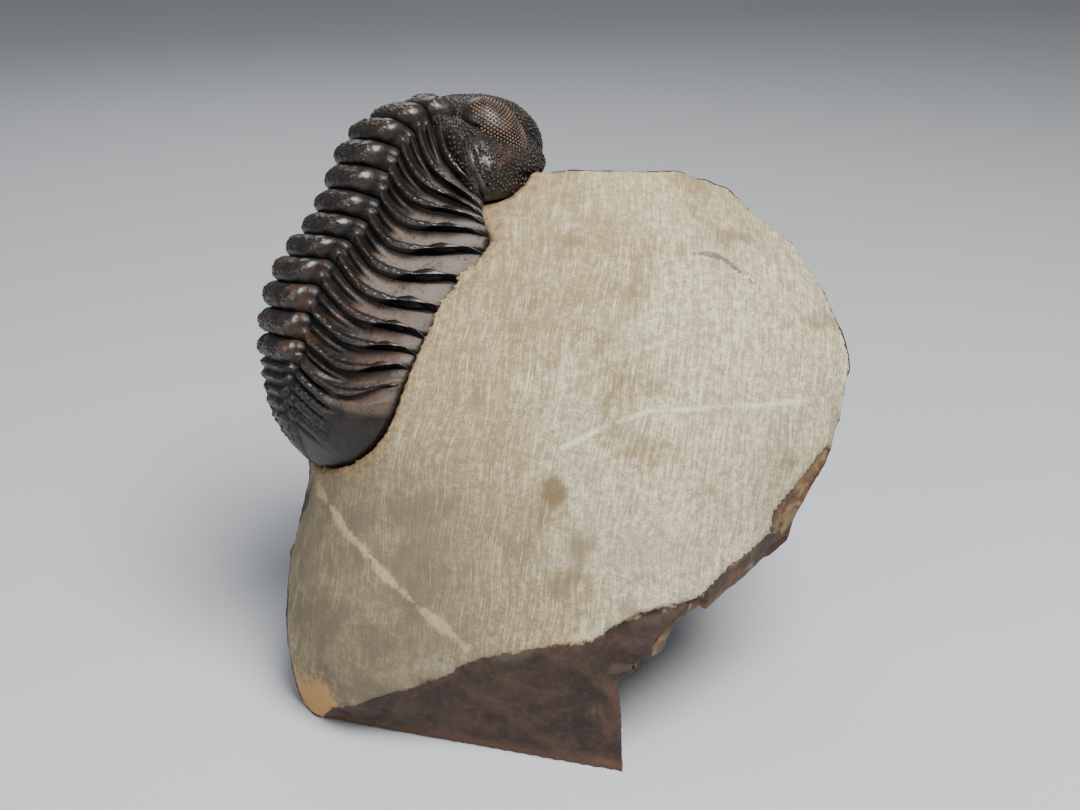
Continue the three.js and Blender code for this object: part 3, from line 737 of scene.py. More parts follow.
def build_plate(name, node, start, end, points_along_and_across, relief, knob_plan, seed, tints, material):
    """One plate: its skin with knobs strewn over the plan's zones, its rear skirt and its underside."""
    lengthwise, sideways = points_along_and_across
    knob_count, zones = knob_plan
    rng = np.random.default_rng(seed)
    round_tip, grid_u, side, at, skin, normal, height = plate_grid(start, end, lengthwise, sideways, relief)
    shape = skin.shape[:2]
    flat = (skin + normal * height[..., None]).reshape(-1, 3)
    centres = knob_centres(rng, knob_count, start, end, zones, relief)
    radii = rng.uniform(*KNOB_RADII, len(centres))
    heights = rng.uniform(*KNOB_HEIGHTS, len(centres)) * (radii / KNOB_USUAL_RADIUS)
    raised = knobs(flat, centres, radii, heights)
    raised += 0.1 * rough(flat, 2.4, seed, 3) + 0.035 * rough(flat, 0.55, seed + 5, 2)
    raised = raised.reshape(shape)
    tip = 1 - 0.8 * smooth(np.abs(side), 14.2, 15)
    outer = skin + normal * (height + raised * tip)[..., None]
    # The rear edge turns down under itself, and the underside closes the plate.
    skirt_depth = (SKIRT_DEPTH * (1 - 0.4 * smooth(np.abs(side[-1]), 13.6, HALF_WIDTH)))[:, None]
    skirt = outer[-1] - normal[-1] * skirt_depth
    outer = np.concatenate([outer, skirt[None]])
    at_rows = np.concatenate([at[:, 0], at[-1:, 0]])
    tips = np.concatenate([round_tip, round_tip[-1:]])[:, ::-1]
    reverse = side[0][None, ::-1]
    under = floor_point(swept(at_rows[:, None], reverse), reverse * tips, UNDERSIDE_DEPTH)
    loops = np.concatenate([outer, under], axis=1)
    count = loops.shape[1]
    points = loops.reshape(-1, 3)
    faces = outward(points, loops_to_faces(count, loops.shape[0]))
    attributes = {}
    for key, values in tints(grid_u, side, at, height + raised).items():
        full = np.zeros(loops.shape[:2])
        full[: shape[0], : shape[1]] = values
        full[shape[0], : shape[1]] = values[-1]
        attributes[key] = full.ravel()
    return make_object(name, placed(points), faces, attributes, material, node)


def segment_tints(index):
    def tints(u, side, at, height):
        reach = np.abs(side)
        wide = float(hump(np.array(index), 6.3, 2.2))
        inner_edge = 11.4 - 2.2 * wide
        facet = smooth(reach, inner_edge, inner_edge + 1.3) * smooth(u, -0.02, 0.05)
        ahead_of_lip = 1 - smooth(u - 0.08 * smooth(reach, 12.0, 14.6), 0.57, 0.62)
        # How strongly each facet takes that paler colour, which is partly painted light; strongest near the
        # sixth segment.
        facet = facet * ahead_of_lip * (0.35 + 0.65 * wide)
        rust = np.full_like(u, float(smooth(np.array(index), 6.6, 9.2)))
        ridge = smooth(height, -0.1, 0.8)
        hollow = 1 - smooth(height, -1.1, -0.2)
        return {"facet": facet, "rust": rust, "ridge": ridge, "hollow": hollow * (1 - facet)}

    return tints


def tail_tints(u, side, at, height):
    reach = np.abs(side)
    along_tail = at - SEGMENTS
    facet = smooth(reach, 9.5, 11.5) * (1 - smooth(along_tail, 0.35, 0.6)) * 0.6
    ridge = smooth(height, 0.0, 0.6) * (1 - smooth(along_tail, 1.0, 2.6))
    hollow = 1 - smooth(height, -0.6, -0.1)
    return {"facet": facet, "rust": facet, "ridge": ridge * 0.6, "hollow": hollow}


# ----------------------------------------------------------------------------------------------------
# The head: distances from a point inside it to its skin, in forward, up and sideways coordinates.

HEAD_FORWARD = np.array([-0.908, 0.418])
HEAD_UP = np.array([0.418, 0.908])
HEAD_CORNER = np.array([6.2, 12.0])
HEAD_CENTRE = np.array([0.0, 4.5, 0.0])
HEAD_REAR = -6.0
EYE_SLOPE = math.radians(-62)
EYE_CENTRE = np.array([5.5, 7.5, 8.2])
EYE_SIZE = np.array([5.4, 3.7, 3.7])
# The part of each eye that carries lenses: the files from front to rear, and each file from low to high.
LENS_FILES = (math.radians(-66), math.radians(68))
LENS_RISE = (math.radians(-34), math.radians(62))
FILE_GAP = 0.87
# Turns about the head that are seen and carry fine mesh, and those that lie inside the animal.
SEEN_TURNS = np.linspace(-35, 128, 340, endpoint=False)
HIDDEN_TURNS = np.linspace(128, 325, 36, endpoint=False)


def head_point(p):
    """A point of the leaning frame from forward, up and sideways coordinates of the head."""
    a = HEAD_CORNER[0] + p[..., 0] * HEAD_FORWARD[0] + p[..., 1] * HEAD_UP[0]
    b = HEAD_CORNER[1] + p[..., 0] * HEAD_FORWARD[1] + p[..., 1] * HEAD_UP[1]
    return body_point(a, b, p[..., 2])


def lump_reach(direction, centre, size, slope=0.0, rear=None):
    """Distance from the head's inner point to the far side of an ellipsoid; slope tips it forwards, and
    rear, where given, is its shorter reach backwards."""
    if rear is not None:
        front = lump_reach(direction, centre, size, slope)
        squat = lump_reach(direction, centre, np.array([rear, size[1], size[2]]), slope)
        return np.where(direction[..., 0] < 0, squat, front)
    c, s = math.cos(slope), math.sin(slope)
    turn = np.array([[c, s, 0], [-s, c, 0], [0, 0, 1]])
    d = direction @ turn.T / size
    o = (HEAD_CENTRE - np.asarray(centre)) @ turn.T / size
    a = np.einsum("...i,...i->...", d, d)
    b = 2 * np.einsum("...i,i->...", d, o)
    k = float(o @ o) - 1
    inside = b * b - 4 * a * k
    return np.where(inside > 0, (-b + np.sqrt(np.maximum(inside, 0))) / (2 * a), 0.0)


def soft_max(values, sharpness):
    """The largest of the values, blended where two come close."""
    stack = np.stack(values)
    return np.log(np.exp(stack * sharpness).sum(axis=0)) / sharpness


def eye_axes(sign):
    """The eye's long, cross and outward directions; sign is 1 or -1 for the two sides."""
    c, s = math.cos(EYE_SLOPE), math.sin(EYE_SLOPE)
    return np.array([c, s, 0.0]), np.array([-s, c, 0.0]), np.array([0.0, 0.0, sign])


def head_skin(direction):
    """Reach of the skin in each direction, and how far the eye, the swollen middle and the rest show."""
    cheeks = lump_reach(direction, (0.0, 3.3, 0.0), np.array([14.4, 8.4, 14.7]), rear=2.9)
    middle = lump_reach(direction, (5.0, 6.2, 0.0), np.array([10.4, 7.0, 8.3]))
    neck = lump_reach(direction, (0.0, 7.6, 0.0), np.array([5.6, 6.2, 5.4]), rear=3.0)
    body = soft_max([cheeks, middle, neck], 2.4)
    up, side = direction[..., 1], direction[..., 2]
    axial = hump(middle - cheeks, 0.0, 0.75) * smooth(up, -0.25, 0.15) * smooth(np.abs(side), 0.15, 0.4)
    body = body - 0.75 * axial
    neck_line = hump(neck - middle, 0.15, 0.35) * smooth(up, 0.5, 0.8) * (1 - smooth(np.abs(side), 0.7, 0.9))
    body = body - 0.45 * neck_line
    sign = np.where(side >= 0, 1.0, -1.0)
    mirrored = direction * np.stack([np.ones_like(sign), np.ones_like(sign), sign], axis=-1)
    eye = lump_reach(mirrored, EYE_CENTRE, EYE_SIZE, EYE_SLOPE)
    proud = eye - body
    moat = hump(proud, -0.1, 0.34) * (eye > 0)
    reach = soft_max([body, eye], 8.0) - 1.5 * moat
    # A furrow inside the rear border of the cheek, which stands up as a rounded rim.
    back = HEAD_CENTRE[0] + reach * direction[..., 0]
    off_axis = smooth(np.abs(reach * side), 5.6, 7.0)
    reach = reach + (0.35 * hump(back, -1.1, 0.7) - 0.55 * hump(back, 0.7, 0.7)) * off_axis
    # The lower cheek rolls in above the head's front edge, which then stands out as a low rim.
    low = HEAD_CENTRE[1] + reach * up
    reach = reach - 0.55 * hump(low, 2.1, 0.7) * smooth(direction[..., 0], 0.1, 0.6)
    return reach, proud, middle - cheeks, moat, axial


def clipped(direction, reach):
    """The head's flat underside and flat rear, where the rest of the animal joins it."""
    forward, up = direction[..., 0], direction[..., 1]
    under = np.where(up < -1e-6, HEAD_CENTRE[1] / np.maximum(-up, 1e-6), np.inf)
    rear = np.where(forward < -1e-6, HEAD_REAR / np.minimum(forward, -1e-6), np.inf)
    return np.minimum(reach, np.minimum(under, rear))


def build_head(material):
    """The head shield, as a grid of directions from its inner point."""
    turns = np.radians(np.concatenate([SEEN_TURNS, HIDDEN_TURNS]))
    tilts = np.linspace(0, np.pi, 250)[1:-1]
    tilt, turn = np.meshgrid(tilts, turns, indexing="ij")
    direction = np.stack([np.sin(tilt) * np.cos(turn), np.sin(tilt) * np.sin(turn), np.cos(tilt)], axis=-1)
    reach, proud, glabella, moat, axial = head_skin(direction)
    local = HEAD_CENTRE + direction * reach[..., None]
    spot = head_point(local)
    eye_smooth = smooth(proud, 0.0, 0.4)
    folds = (1 - np.abs(noise(spot, 0.9, 35))) * (1 - np.abs(noise(spot, 1.3, 36)))
    reach = reach + 0.16 * folds * smooth(-glabella, 0.0, 0.8) * (1 - eye_smooth) * (1 - moat)
    reach = reach + (0.16 * rough(spot, 2.6, 31, 3) + 0.05 * rough(spot, 0.6, 33, 2)) * (1 - 0.7 * eye_smooth)
    whole = clipped(direction, reach)
    kept = whole >= reach - 1e-6
    local = HEAD_CENTRE + direction * whole[..., None]
    rows, columns = tilt.shape
    points = head_point(local).reshape(-1, 3)
    sideways = np.array([0, 0, 1])
    poles = head_point(HEAD_CENTRE + np.outer([whole[0].mean(), -whole[-1].mean()], sideways))
    points = np.concatenate([points, poles])
    quads = grid_quads(rows, columns, closed=True)
    one, two = quads[:, [0, 1, 2]], quads[:, [0, 2, 3]]
    top, base = rows * columns, (rows - 1) * columns
    j = np.arange(columns)
    k = (j + 1) % columns
    left_cap = np.stack([k, j, np.full(columns, top)], axis=-1)
    right_cap = np.stack([base + j, base + k, np.full(columns, top + 1)], axis=-1)
    faces = outward(points, np.concatenate([one, two, left_cap, right_cap]))
    forward, up, side = local[..., 0], local[..., 1], np.abs(local[..., 2])
    above_eye = (forward - EYE_CENTRE[0]) * math.sin(-EYE_SLOPE) + (up - EYE_CENTRE[1]) * math.cos(EYE_SLOPE)
    upper_eye = smooth(above_eye, 2.8, 3.2)
    lens_field = eye_smooth * (1 - upper_eye)
    cheek = smooth(-glabella, -0.5, 0.6)
    granular = np.clip(1 - lens_field * 1.5, 0, 1) * (1 - 0.8 * moat) * (1 - 0.75 * axial) * kept
    granular = granular * smooth(forward, -2.6, -1.0) * smooth(up, 0.5, 1.4)
    granular = granular * np.where(upper_eye * eye_smooth > 0.5, 0.35, 1.0)
    brown = cheek * smooth(side, 8.0, 12.5) * (1 - smooth(up, 5.5, 8.5)) + 0.9 * lens_field
    tints = {
        "facet": np.zeros_like(up),
        "rust": np.clip(brown, 0, 1),
        "ridge": smooth(proud, 0.2, 0.9) * 0.5 + 0.3,
        "hollow": np.clip(moat + axial * 0.7, 0, 1),
        "granular": granular,
    }
    attributes = {key: np.concatenate([v.ravel(), [0.0, 0.0]]) for key, v in tints.items()}
    return make_object("head_shield", placed(points), faces, attributes, material, "cephalon")


def lens_places(spacing):
    """Places and facing directions of the lenses, set in slanting files over both eyes."""
    places, aims = [], []
    for sign in (1.0, -1.0):
        long_axis, cross_axis, out_axis = eye_axes(sign)
        centre = EYE_CENTRE * np.array([1, 1, sign])
        angle, file_index = LENS_FILES[0], 0
        while angle < LENS_FILES[1]:
            radius = EYE_SIZE[1] * math.cos(angle)
            step = spacing / max(radius, 0.6)
            tilt = LENS_RISE[0] + (step / 2 if file_index % 2 else 0)
            while tilt < LENS_RISE[1]:
                flat = math.cos(angle)
                ring = np.array([math.sin(angle), flat * math.sin(tilt), flat * math.cos(tilt)])
                offset = sum(r * s * a for r, s, a in zip(ring, EYE_SIZE, (long_axis, cross_axis, out_axis)))
                aim = sum(r / s * a for r, s, a in zip(ring, EYE_SIZE, (long_axis, cross_axis, out_axis)))
                places.append(centre + offset)
                aims.append(aim)
                tilt += step
            local = math.hypot(EYE_SIZE[0] * math.cos(angle), EYE_SIZE[1] * math.sin(angle))
            angle += spacing * FILE_GAP / local
            file_index += 1
    places, aims = np.array(places), np.array(aims)
    ends = placed(head_point(places + aims / np.linalg.norm(aims, axis=1, keepdims=True) * 0.01))
    starts = placed(head_point(places))
    directions = ends - starts
    return starts, directions / np.linalg.norm(directions, axis=1, keepdims=True)


# ----------------------------------------------------------------------------------------------------
# What repeats on the head: granules and lenses.

GRANULE_DENSITY = 1.2e7
GRANULE_FLATNESS = 0.62
LENS_FLATNESS = 0.75


def open_tree(name, labels):
    """A Geometry Nodes tree with an input for each label, its group input, and the inputs' identifiers."""
    tree = bpy.data.node_groups.new(name, "GeometryNodeTree")
    face = tree.interface
    face.new_socket("Geometry", in_out="INPUT", socket_type="NodeSocketGeometry")
    inputs = {}
    for label, kind in labels.items():
        socket = face.new_socket(label, in_out="INPUT", socket_type="NodeSocket" + kind)
        inputs[label] = socket.identifier
    face.new_socket("Geometry", in_out="OUTPUT", socket_type="NodeSocketGeometry")
    g = Sheet(tree)
    return tree, g, g.node("NodeGroupInput"), inputs


def close_tree(g, start, placing):
    """Puts a copy on every point, makes the copies real and gives them the material."""
    put = g.node("GeometryNodeInstanceOnPoints", {}, placing)
    real = g.node("GeometryNodeRealizeInstances", {}, {"Geometry": put.outputs["Instances"]})
    shade = g.node("GeometryNodeSetShadeSmooth", {}, {"Geometry": real.outputs["Geometry"]})
    done = g.node("GeometryNodeSetMaterial", {}, {
        "Geometry": shade.outputs["Geometry"], "Material": start.outputs["Material"]})
    g.node("NodeGroupOutput", {}, {"Geometry": done.outputs["Geometry"]})


def dome(g, segments, radius, height):
    """A low ball: its height is a share of its width."""
    ball = g.node("GeometryNodeMeshUVSphere", {}, {"Segments": segments, "Rings": 5, "Radius": radius})
    scale = g.node("ShaderNodeCombineXYZ", {}, {"X": 1.0, "Y": 1.0, "Z": height})
    low = g.node("GeometryNodeTransform", {}, {"Geometry": ball.outputs["Mesh"], "Scale": scale.outputs[0]})
    return low.outputs["Geometry"]


def build_granules(props, head, material):
    """Rounded granules strewn over the head by Geometry Nodes, then made into a plain mesh."""
    tree, g, start, inputs = open_tree("Strewn granules", {
        "Spacing": "Float", "Smallest": "Float", "Largest": "Float", "Seed": "Int", "Material": "Material"})
    allowed = g.node("GeometryNodeInputNamedAttribute", {"data_type": "FLOAT"}, {"Name": "granular"})
    points = g.node("GeometryNodeDistributePointsOnFaces", {"distribute_method": "POISSON"}, {
        "Mesh": start.outputs["Geometry"], "Distance Min": start.outputs["Spacing"],
        "Density Max": GRANULE_DENSITY, "Density Factor": allowed.outputs["Attribute"],
        "Seed": start.outputs["Seed"]})
    size = g.node("FunctionNodeRandomValue", {"data_type": "FLOAT"}, {
        2: start.outputs["Smallest"], 3: start.outputs["Largest"], "Seed": start.outputs["Seed"]})
    close_tree(g, start, {
        "Points": points.outputs["Points"], "Instance": dome(g, 7, 1.0, GRANULE_FLATNESS),
        "Rotation": points.outputs["Rotation"], "Scale": size.outputs[1]})
    values = {"Spacing": props.granule_spacing, "Smallest": props.granule_least,
              "Largest": props.granule_most, "Seed": 7, "Material": material}
    return grown("head_granules", head.data.copy(), tree, {inputs[k]: v for k, v in values.items()}, material)


def build_lenses(props, material):
    """Eye lenses: one low dome on each place of the two eyes, by Geometry Nodes."""
    starts, aims = lens_places(props.lens_spacing / MM)
    mesh = bpy.data.meshes.new("lens_places")
    mesh.from_pydata([tuple(p) for p in starts], [], [])
    layer = mesh.attributes.new("aim", "FLOAT_VECTOR", "POINT")
    layer.data.foreach_set("vector", aims.astype(np.float32).ravel())
    tree, g, start, inputs = open_tree("Eye lenses", {
        "Radius": "Float", "Height": "Float", "Material": "Material"})
    aim = g.node("GeometryNodeInputNamedAttribute", {"data_type": "FLOAT_VECTOR"}, {"Name": "aim"})
    turn = g.node("FunctionNodeAlignRotationToVector", {"axis": "Z"}, {"Vector": aim.outputs["Attribute"]})
    close_tree(g, start, {
        "Points": start.outputs["Geometry"],
        "Instance": dome(g, 8, start.outputs["Radius"], start.outputs["Height"]),
        "Rotation": turn.outputs["Rotation"]})
    values = {"Radius": props.lens_radius, "Height": LENS_FLATNESS, "Material": material}
    return grown("eye_lenses", mesh, tree, {inputs[k]: v for k, v in values.items()}, material)


def grown(name, mesh, tree, values, material):
    """Runs a Geometry Nodes tree on a mesh and keeps the result as a plain piece of the head."""
    plain = modified(name, mesh, "NODES", {"node_group": tree} | values)
    if not plain.materials:
        plain.materials.append(material)
    return settle(linked(name, plain), "cephalon")


# ----------------------------------------------------------------------------------------------------
# The stone.

RIM_LEVELS = np.array([-8, 1, 6.2, 11, 16, 21, 26, 30, 34.8, 40, 46, 52, 58, 64, 68.5, 70.5])
RIM_LEFT = np.array([
    -17, -18.6, -21.2, -22, -22.3, -22.2, -21.5, -20.5, -19.6, -17.6, -16, -14.6, -13, -10.5, -7.5, -2])
EDGE_LEVELS = np.array([25, 29.4, 35.6, 40, 46.2, 49.4, 55.6, 62.5, 66.9, 70, 71.2])
EDGE_RIGHT = np.array([42.5, 43.8, 46.9, 48.5, 49.8, 49.4, 47.5, 43.8, 38.8, 35.6, 28.8])
FOOT_SHARES = np.array([0.04, 0.1, 0.138, 0.207, 0.317, 0.448, 0.551, 0.647, 0.758, 0.868, 1.0])
FOOT_SLANTS = np.array([1.6, 1.7, 1.6, 1.4, 1.1, 0.84, 0.7, 0.63, 0.56, 0.49, 0.4])
BREAK_POINT = np.array([46.9, 35.6, 14.5])
BREAK_NORMAL = np.array([0.703, -0.571, 0.4246])
STAIN_PLACE = (12.8, 31.6)
SEAT_MARGIN = 1.4
FACE_ROUNDS = 160
SKIN_ROUNDS = 5
VEIN = np.array([[-16.9, 31.9], [-12.5, 26.9], [-9.0, 23.6], [-6.2, 20.6], [-2.5, 17.5], [2.5, 13.1]])
CRACK = np.array([[26.2, 58.8], [29.6, 60.2], [33.1, 59.8], [36.4, 57.4], [38.8, 55.0]])
SEAM = np.array([[13.8, 36.9], [18.6, 39.2], [23.8, 41.2], [33.5, 41.6], [43.8, 42.5]])


def line_gap(points, line):
    """Distance in mm from each (x, up) point to a bent line."""
    best = np.full(len(points), 1e3)
    for a, b in zip(line[:-1], line[1:]):
        span = b - a
        t = np.clip(((points - a) @ span) / (span @ span), 0, 1)
        best = np.minimum(best, np.linalg.norm(points - a - t[:, None] * span, axis=1))
    return best


def relaxed(points, edges, free, rounds, share=0.5):
    """Moves free points towards the middle of their neighbours, rounds times over."""
    count = len(points)
    a, b = edges[:, 0], edges[:, 1]
    degree = np.bincount(a, minlength=count) + np.bincount(b, minlength=count)
    weight = (free * share)[:, None]
    for _ in range(rounds):
        sums = [np.bincount(a, points[b, k], count) + np.bincount(b, points[a, k], count) for k in range(3)]
        total = np.stack(sums, axis=1)
        points = points + (total / degree[:, None] - points) * weight
    return points


def ground_face(x, up):
    """How far the ground face stands out of the leaning plane."""
    level = np.clip(up, 2, 70)
    to_left = np.clip(20 - x, 0, None) / (20 - np.minimum(np.interp(level, RIM_LEVELS, RIM_LEFT), -8))
    to_right = np.clip((x - 20) / (np.interp(level, EDGE_LEVELS, EDGE_RIGHT) - 20), 0, 1)
    left_fall = 18 + 15 * smooth(level, 6, 32)
    lower = 0.002 + 0.0052 * smooth(20 - x, 0, 24)
    fall = left_fall * (1 - np.sqrt(np.clip(1 - to_left**4, 0, 1))) + 11 * to_right**2.6
    return 22 - fall - np.where(up > 36, 0.0087, lower) * (up - 36) ** 2


def foot_front(x, up):
    """How far out the brown front of the foot stands."""
    share = (x + 17.5) / 36.3
    return 4 + 10.3 * share + np.interp(share, FOOT_SHARES, FOOT_SLANTS) * (up - 1.9 + 4.15 * share)


def mesh_arrays(mesh):
    """A mesh's points, normals and edges, as arrays."""
    points = np.empty(len(mesh.vertices) * 3)
    mesh.vertices.foreach_get("co", points)
    normals = np.empty(points.size)
    mesh.vertex_normals.foreach_get("vector", normals)
    edges = np.empty(len(mesh.edges) * 2, dtype=np.int32)
    mesh.edges.foreach_get("vertices", edges)
    return points.reshape(-1, 3), normals.reshape(-1, 3), edges.reshape(-1, 2)


def stone_zones(spot, normals):
    """Where each point lies: how squarely it faces forward, how far it is below the ground face, whether it
    is on the foot's front, the strip beside it, the chipped corner or the broken edge, and how far it is
    from the foot's upper edge."""
    out_of_face = normals @ np.array([0, -math.cos(LEAN), math.sin(LEAN)])
    level = ground_face(spot[:, 0], spot[:, 1])
    below_face = level - spot[:, 2]
    cut = level - foot_front(spot[:, 0], spot[:, 1])
    facing = normals @ np.array([0, -1, 0])
    front = (cut > -0.15) & (facing > 0.3) & (spot[:, 1] < 17) & (spot[:, 0] < 22)
    line = 14.9 + 0.235 * (spot[:, 0] - 18.75) + 1.7 * smooth(spot[:, 0], 16, 24)
    strip = (spot[:, 0] > 16) & (spot[:, 0] < 31) & (spot[:, 1] < line)
    front = front | (strip & (facing > 0.2))
    chip = spot[:, 0] > 39.4 + 0.85 * np.clip(spot[:, 1] - 28.5, 0, None)
    chip = chip & (spot[:, 1] < 36.5) & (out_of_face > 0.2)
    broken = (np.abs((spot - BREAK_POINT) @ BREAK_NORMAL) < 0.7) & (below_face > 0.25)
    broken = (broken & (spot[:, 0] > 25)) | chip
    edge = np.where(spot[:, 0] < 16, cut, 0.3 * (line - spot[:, 1]))
    edge = np.where(spot[:, 1] < 19, np.clip(edge, -4, 4), -4.0)
    return out_of_face, below_face, front, strip, chip, broken, edge


def stone_relief(spot, ground):
    """How far the skin is pushed out or in: gently on the ground face, lumpy and pitted elsewhere."""
    coarse = rough(spot, 7.0, 11, 5, 0.55)
    fine = rough(spot, 1.6, 12, 3, 0.6)
    swell = rough(spot, 16.0, 13, 3)
    pits = np.minimum(rough(spot * [1, 0.7, 1], 2.6, 14, 2) + 0.12, 0)
    worked = 0.1 * fine + 0.16 * swell + 0.08 * coarse
    weathered = 0.62 * coarse + 0.22 * fine + 0.9 * pits
    return np.where(ground, worked, weathered)


def build_stone(props, material):
    """The block: the CAD block cut into small even cells, then ground smooth in front and worn elsewhere."""
    block = frame["nodes"]["matrix"].data.copy()
    block.materials.clear()
    mesh = modified("stone", block, "REMESH", {"mode": "VOXEL", "voxel_size": props.stone_grain})
    points, normals, edges = mesh_arrays(mesh)
    spot = leaning(points)
    out_of_face, below_face, front, strip, chip, broken, edge = stone_zones(spot, normals)
    near = shell_gap(spot)
    resting = points[:, 2] < 0.5 * MM
    ground = (out_of_face > 0.25) & ~front & ~broken & (below_face < 2.5) & (near > 1.0) & ~resting
    calm = np.where(ground & (near > SEAT_MARGIN), 1.0, 0.0)
    smoothed = relaxed(points / MM, edges, calm, FACE_ROUNDS, 0.6)
    loose = np.where(resting | (near < SEAT_MARGIN) | ground, 0.0, 1.0)
    smoothed = relaxed(smoothed, edges, loose, SKIN_ROUNDS)
    spot = leaning(smoothed * MM)
    push = stone_relief(spot, ground) - 0.8 * (strip & (spot[:, 0] > 19) & (spot[:, 1] > 10.5)) - 0.55 * chip
    clear = smooth(near, 0.9, 2.6) * (1 - smooth(-points[:, 2] / MM, -1.2, -0.4))
    moved = smoothed + normals * (push * clear)[:, None]
    moved[:, 2] = np.maximum(moved[:, 2], 0.0)
    mesh.vertices.foreach_set("co", (moved * MM).astype(np.float32).ravel())
    face = spot[:, :2]
    fields = {
        "across": spot[:, 0],
        "upward": spot[:, 1],
        "outward": spot[:, 2],
        "ground": (ground | front).astype(float),
        "edge": edge,
        "broken": broken.astype(float),
        "near": np.minimum(near, 20),
        "vein": np.minimum(line_gap(face, VEIN), 20),
        "crack": np.minimum(line_gap(face, CRACK), 20),
        "seam": np.minimum(line_gap(face, SEAM), 20),
        # Painted shadow in a band of the broken face just below the ground face's edge, and darker where the
        # skin is pushed in.
        "hollow": np.clip(0.9 * broken * (1 - smooth(below_face, 1.4, 3.6)) - push * 1.6, 0, 1),
        "stain": np.minimum(np.hypot((face[:, 0] - STAIN_PLACE[0]) * 1.25, face[:, 1] - STAIN_PLACE[1]), 20),
    }
    store(mesh, fields)
    mesh.polygons.foreach_set("use_smooth", np.ones(len(mesh.polygons), dtype=bool))
    mesh.update()
    mesh.materials.clear()
    mesh.materials.append(material)
    return settle(linked("stone", mesh), "matrix")


def shell_gap(points):
    """Distance in mm from points of the leaning frame to the animal's skin."""
    stations, sides = np.linspace(-0.9, TAIL_END, 110), np.linspace(-HALF_WIDTH, HALF_WIDTH, 56)
    at, side = np.meshgrid(stations, sides, indexing="ij")
    skin = shell_point(at, side).reshape(-1, 3)
    base = floor_point(at, side, 0.4).reshape(-1, 3)
    turns, tilts = np.radians(np.arange(0, 360, 5)), np.radians(np.arange(4, 178, 5))
    turn, tilt = np.meshgrid(turns, tilts, indexing="ij")
    aim = np.stack([np.sin(tilt) * np.cos(turn), np.sin(tilt) * np.sin(turn), np.cos(tilt)], axis=-1)
    head = head_point(HEAD_CENTRE + aim * clipped(aim, head_skin(aim)[0])[..., None]).reshape(-1, 3)
    cloud = np.concatenate([skin, base, head])
    tree = nearest_of(cloud)
    return np.array([tree.find(point)[2] for point in points])


# ----------------------------------------------------------------------------------------------------
# The stage.

VIEW_TARGET = np.array([11.25, 41.9, 9.0])
VIEW_DISTANCE = 185.6
LIT_SPOT = Vector((0.0, 0.0, 0.04))
FLOOR_REACH = 2.4


def build_stage(props):
    """A pale floor that curves up behind, three soft lights and the camera."""
    mesh = bpy.data.meshes.new("floor")
    count = 60
    steps = np.linspace(-FLOOR_REACH, FLOOR_REACH, count)
    x, y = np.meshgrid(steps, steps, indexing="ij")
    ripple = 0.00004 * noise(np.stack([x, y, x * 0], axis=-1) / MM, 90.0, 3)
    z = ripple - 0.00005 + 0.35 * np.clip(y - 0.75, 0, None) ** 2
    points = np.stack([x, y, z], axis=-1).reshape(-1, 3)
    faces = grid_quads(count, count)[:, ::-1]
    mesh.from_pydata(points.tolist(), [], faces.tolist())
    mesh.polygons.foreach_set("use_smooth", np.ones(len(faces), dtype=bool))
    mesh.materials.append(material("floor", props))
    floor = linked("floor", mesh)
    world = bpy.data.worlds.new("studio")
    world.use_nodes = True
    world.node_tree.nodes.clear()
    s = Sheet(world.node_tree)
    sky = s.node("ShaderNodeBackground", {}, {"Color": (0.9, 0.95, 1.0, 1.0), "Strength": props.sky_strength})
    s.node("ShaderNodeOutputWorld", {}, {"Surface": sky.outputs[0]})
    bpy.context.scene.world = world
    lights = (
        ("key", (0.12, -0.20, 0.42), 0.26, props.key_power, (1.0, 0.98, 0.95)),
        ("fill", (-0.34, -0.34, 0.26), 0.36, props.fill_power, (0.93, 0.96, 1.0)),
        ("rim", (-0.10, 0.36, 0.32), 0.3, props.rim_power, (1.0, 1.0, 1.0)),
    )
    for name, spot, width, watts, tint in lights:
        data = bpy.data.lights.new(name, "AREA")
        data.shape = "DISK"
        data.size = width
        data.energy = watts
        data.color = tint
        light = linked(name, data)
        light.location = spot
        light.rotation_euler = (LIT_SPOT - Vector(spot)).to_track_quat("-Z", "Y").to_euler()
    data = bpy.data.cameras.new("camera")
    data.lens = props.camera_lens
    data.clip_start = 0.01
    camera = linked("camera", data)
    camera.location = placed(VIEW_TARGET + np.array([0.0, 0.0, VIEW_DISTANCE]))
    camera.rotation_euler = (math.pi / 2 - LEAN, 0.0, 0.0)
    bpy.context.scene.camera = camera


# ----------------------------------------------------------------------------------------------------
# The add-on: settings, one operator for each piece or group of like pieces, and a panel.


# How many knobs a plate has, and the zones that they are strewn over: front, rear, nearest and furthest.
SEGMENT_KNOBS = (420, [(0.3, 0.9, 0.0, 5.2), (0.62, 0.92, 7.2, 10.5), (0.64, 0.94, 10.0, 14.6)])
TAIL_KNOBS = (520, [(0.02, 0.8, 0.0, 5.0), (0.0, 0.55, 6.5, 11.5)])
BAND_KNOBS = (420, [(0.3, 0.9, 0.0, 5.2), (0.3, 0.9, 6.6, 13.5)])
TAIL_ROWS = 150
BAND_ROWS = 34


def colour(name, description, default):
    return FloatVectorProperty(
        name=name, description=description, default=default, subtype="COLOR", min=0, max=1)


def size(name, description, millimetres):
    return FloatProperty(
        name=name, description=description, default=millimetres * MM, unit="LENGTH", precision=5)


def power(name, description, watts):
    return FloatProperty(name=name, description=description, default=watts, unit="POWER")


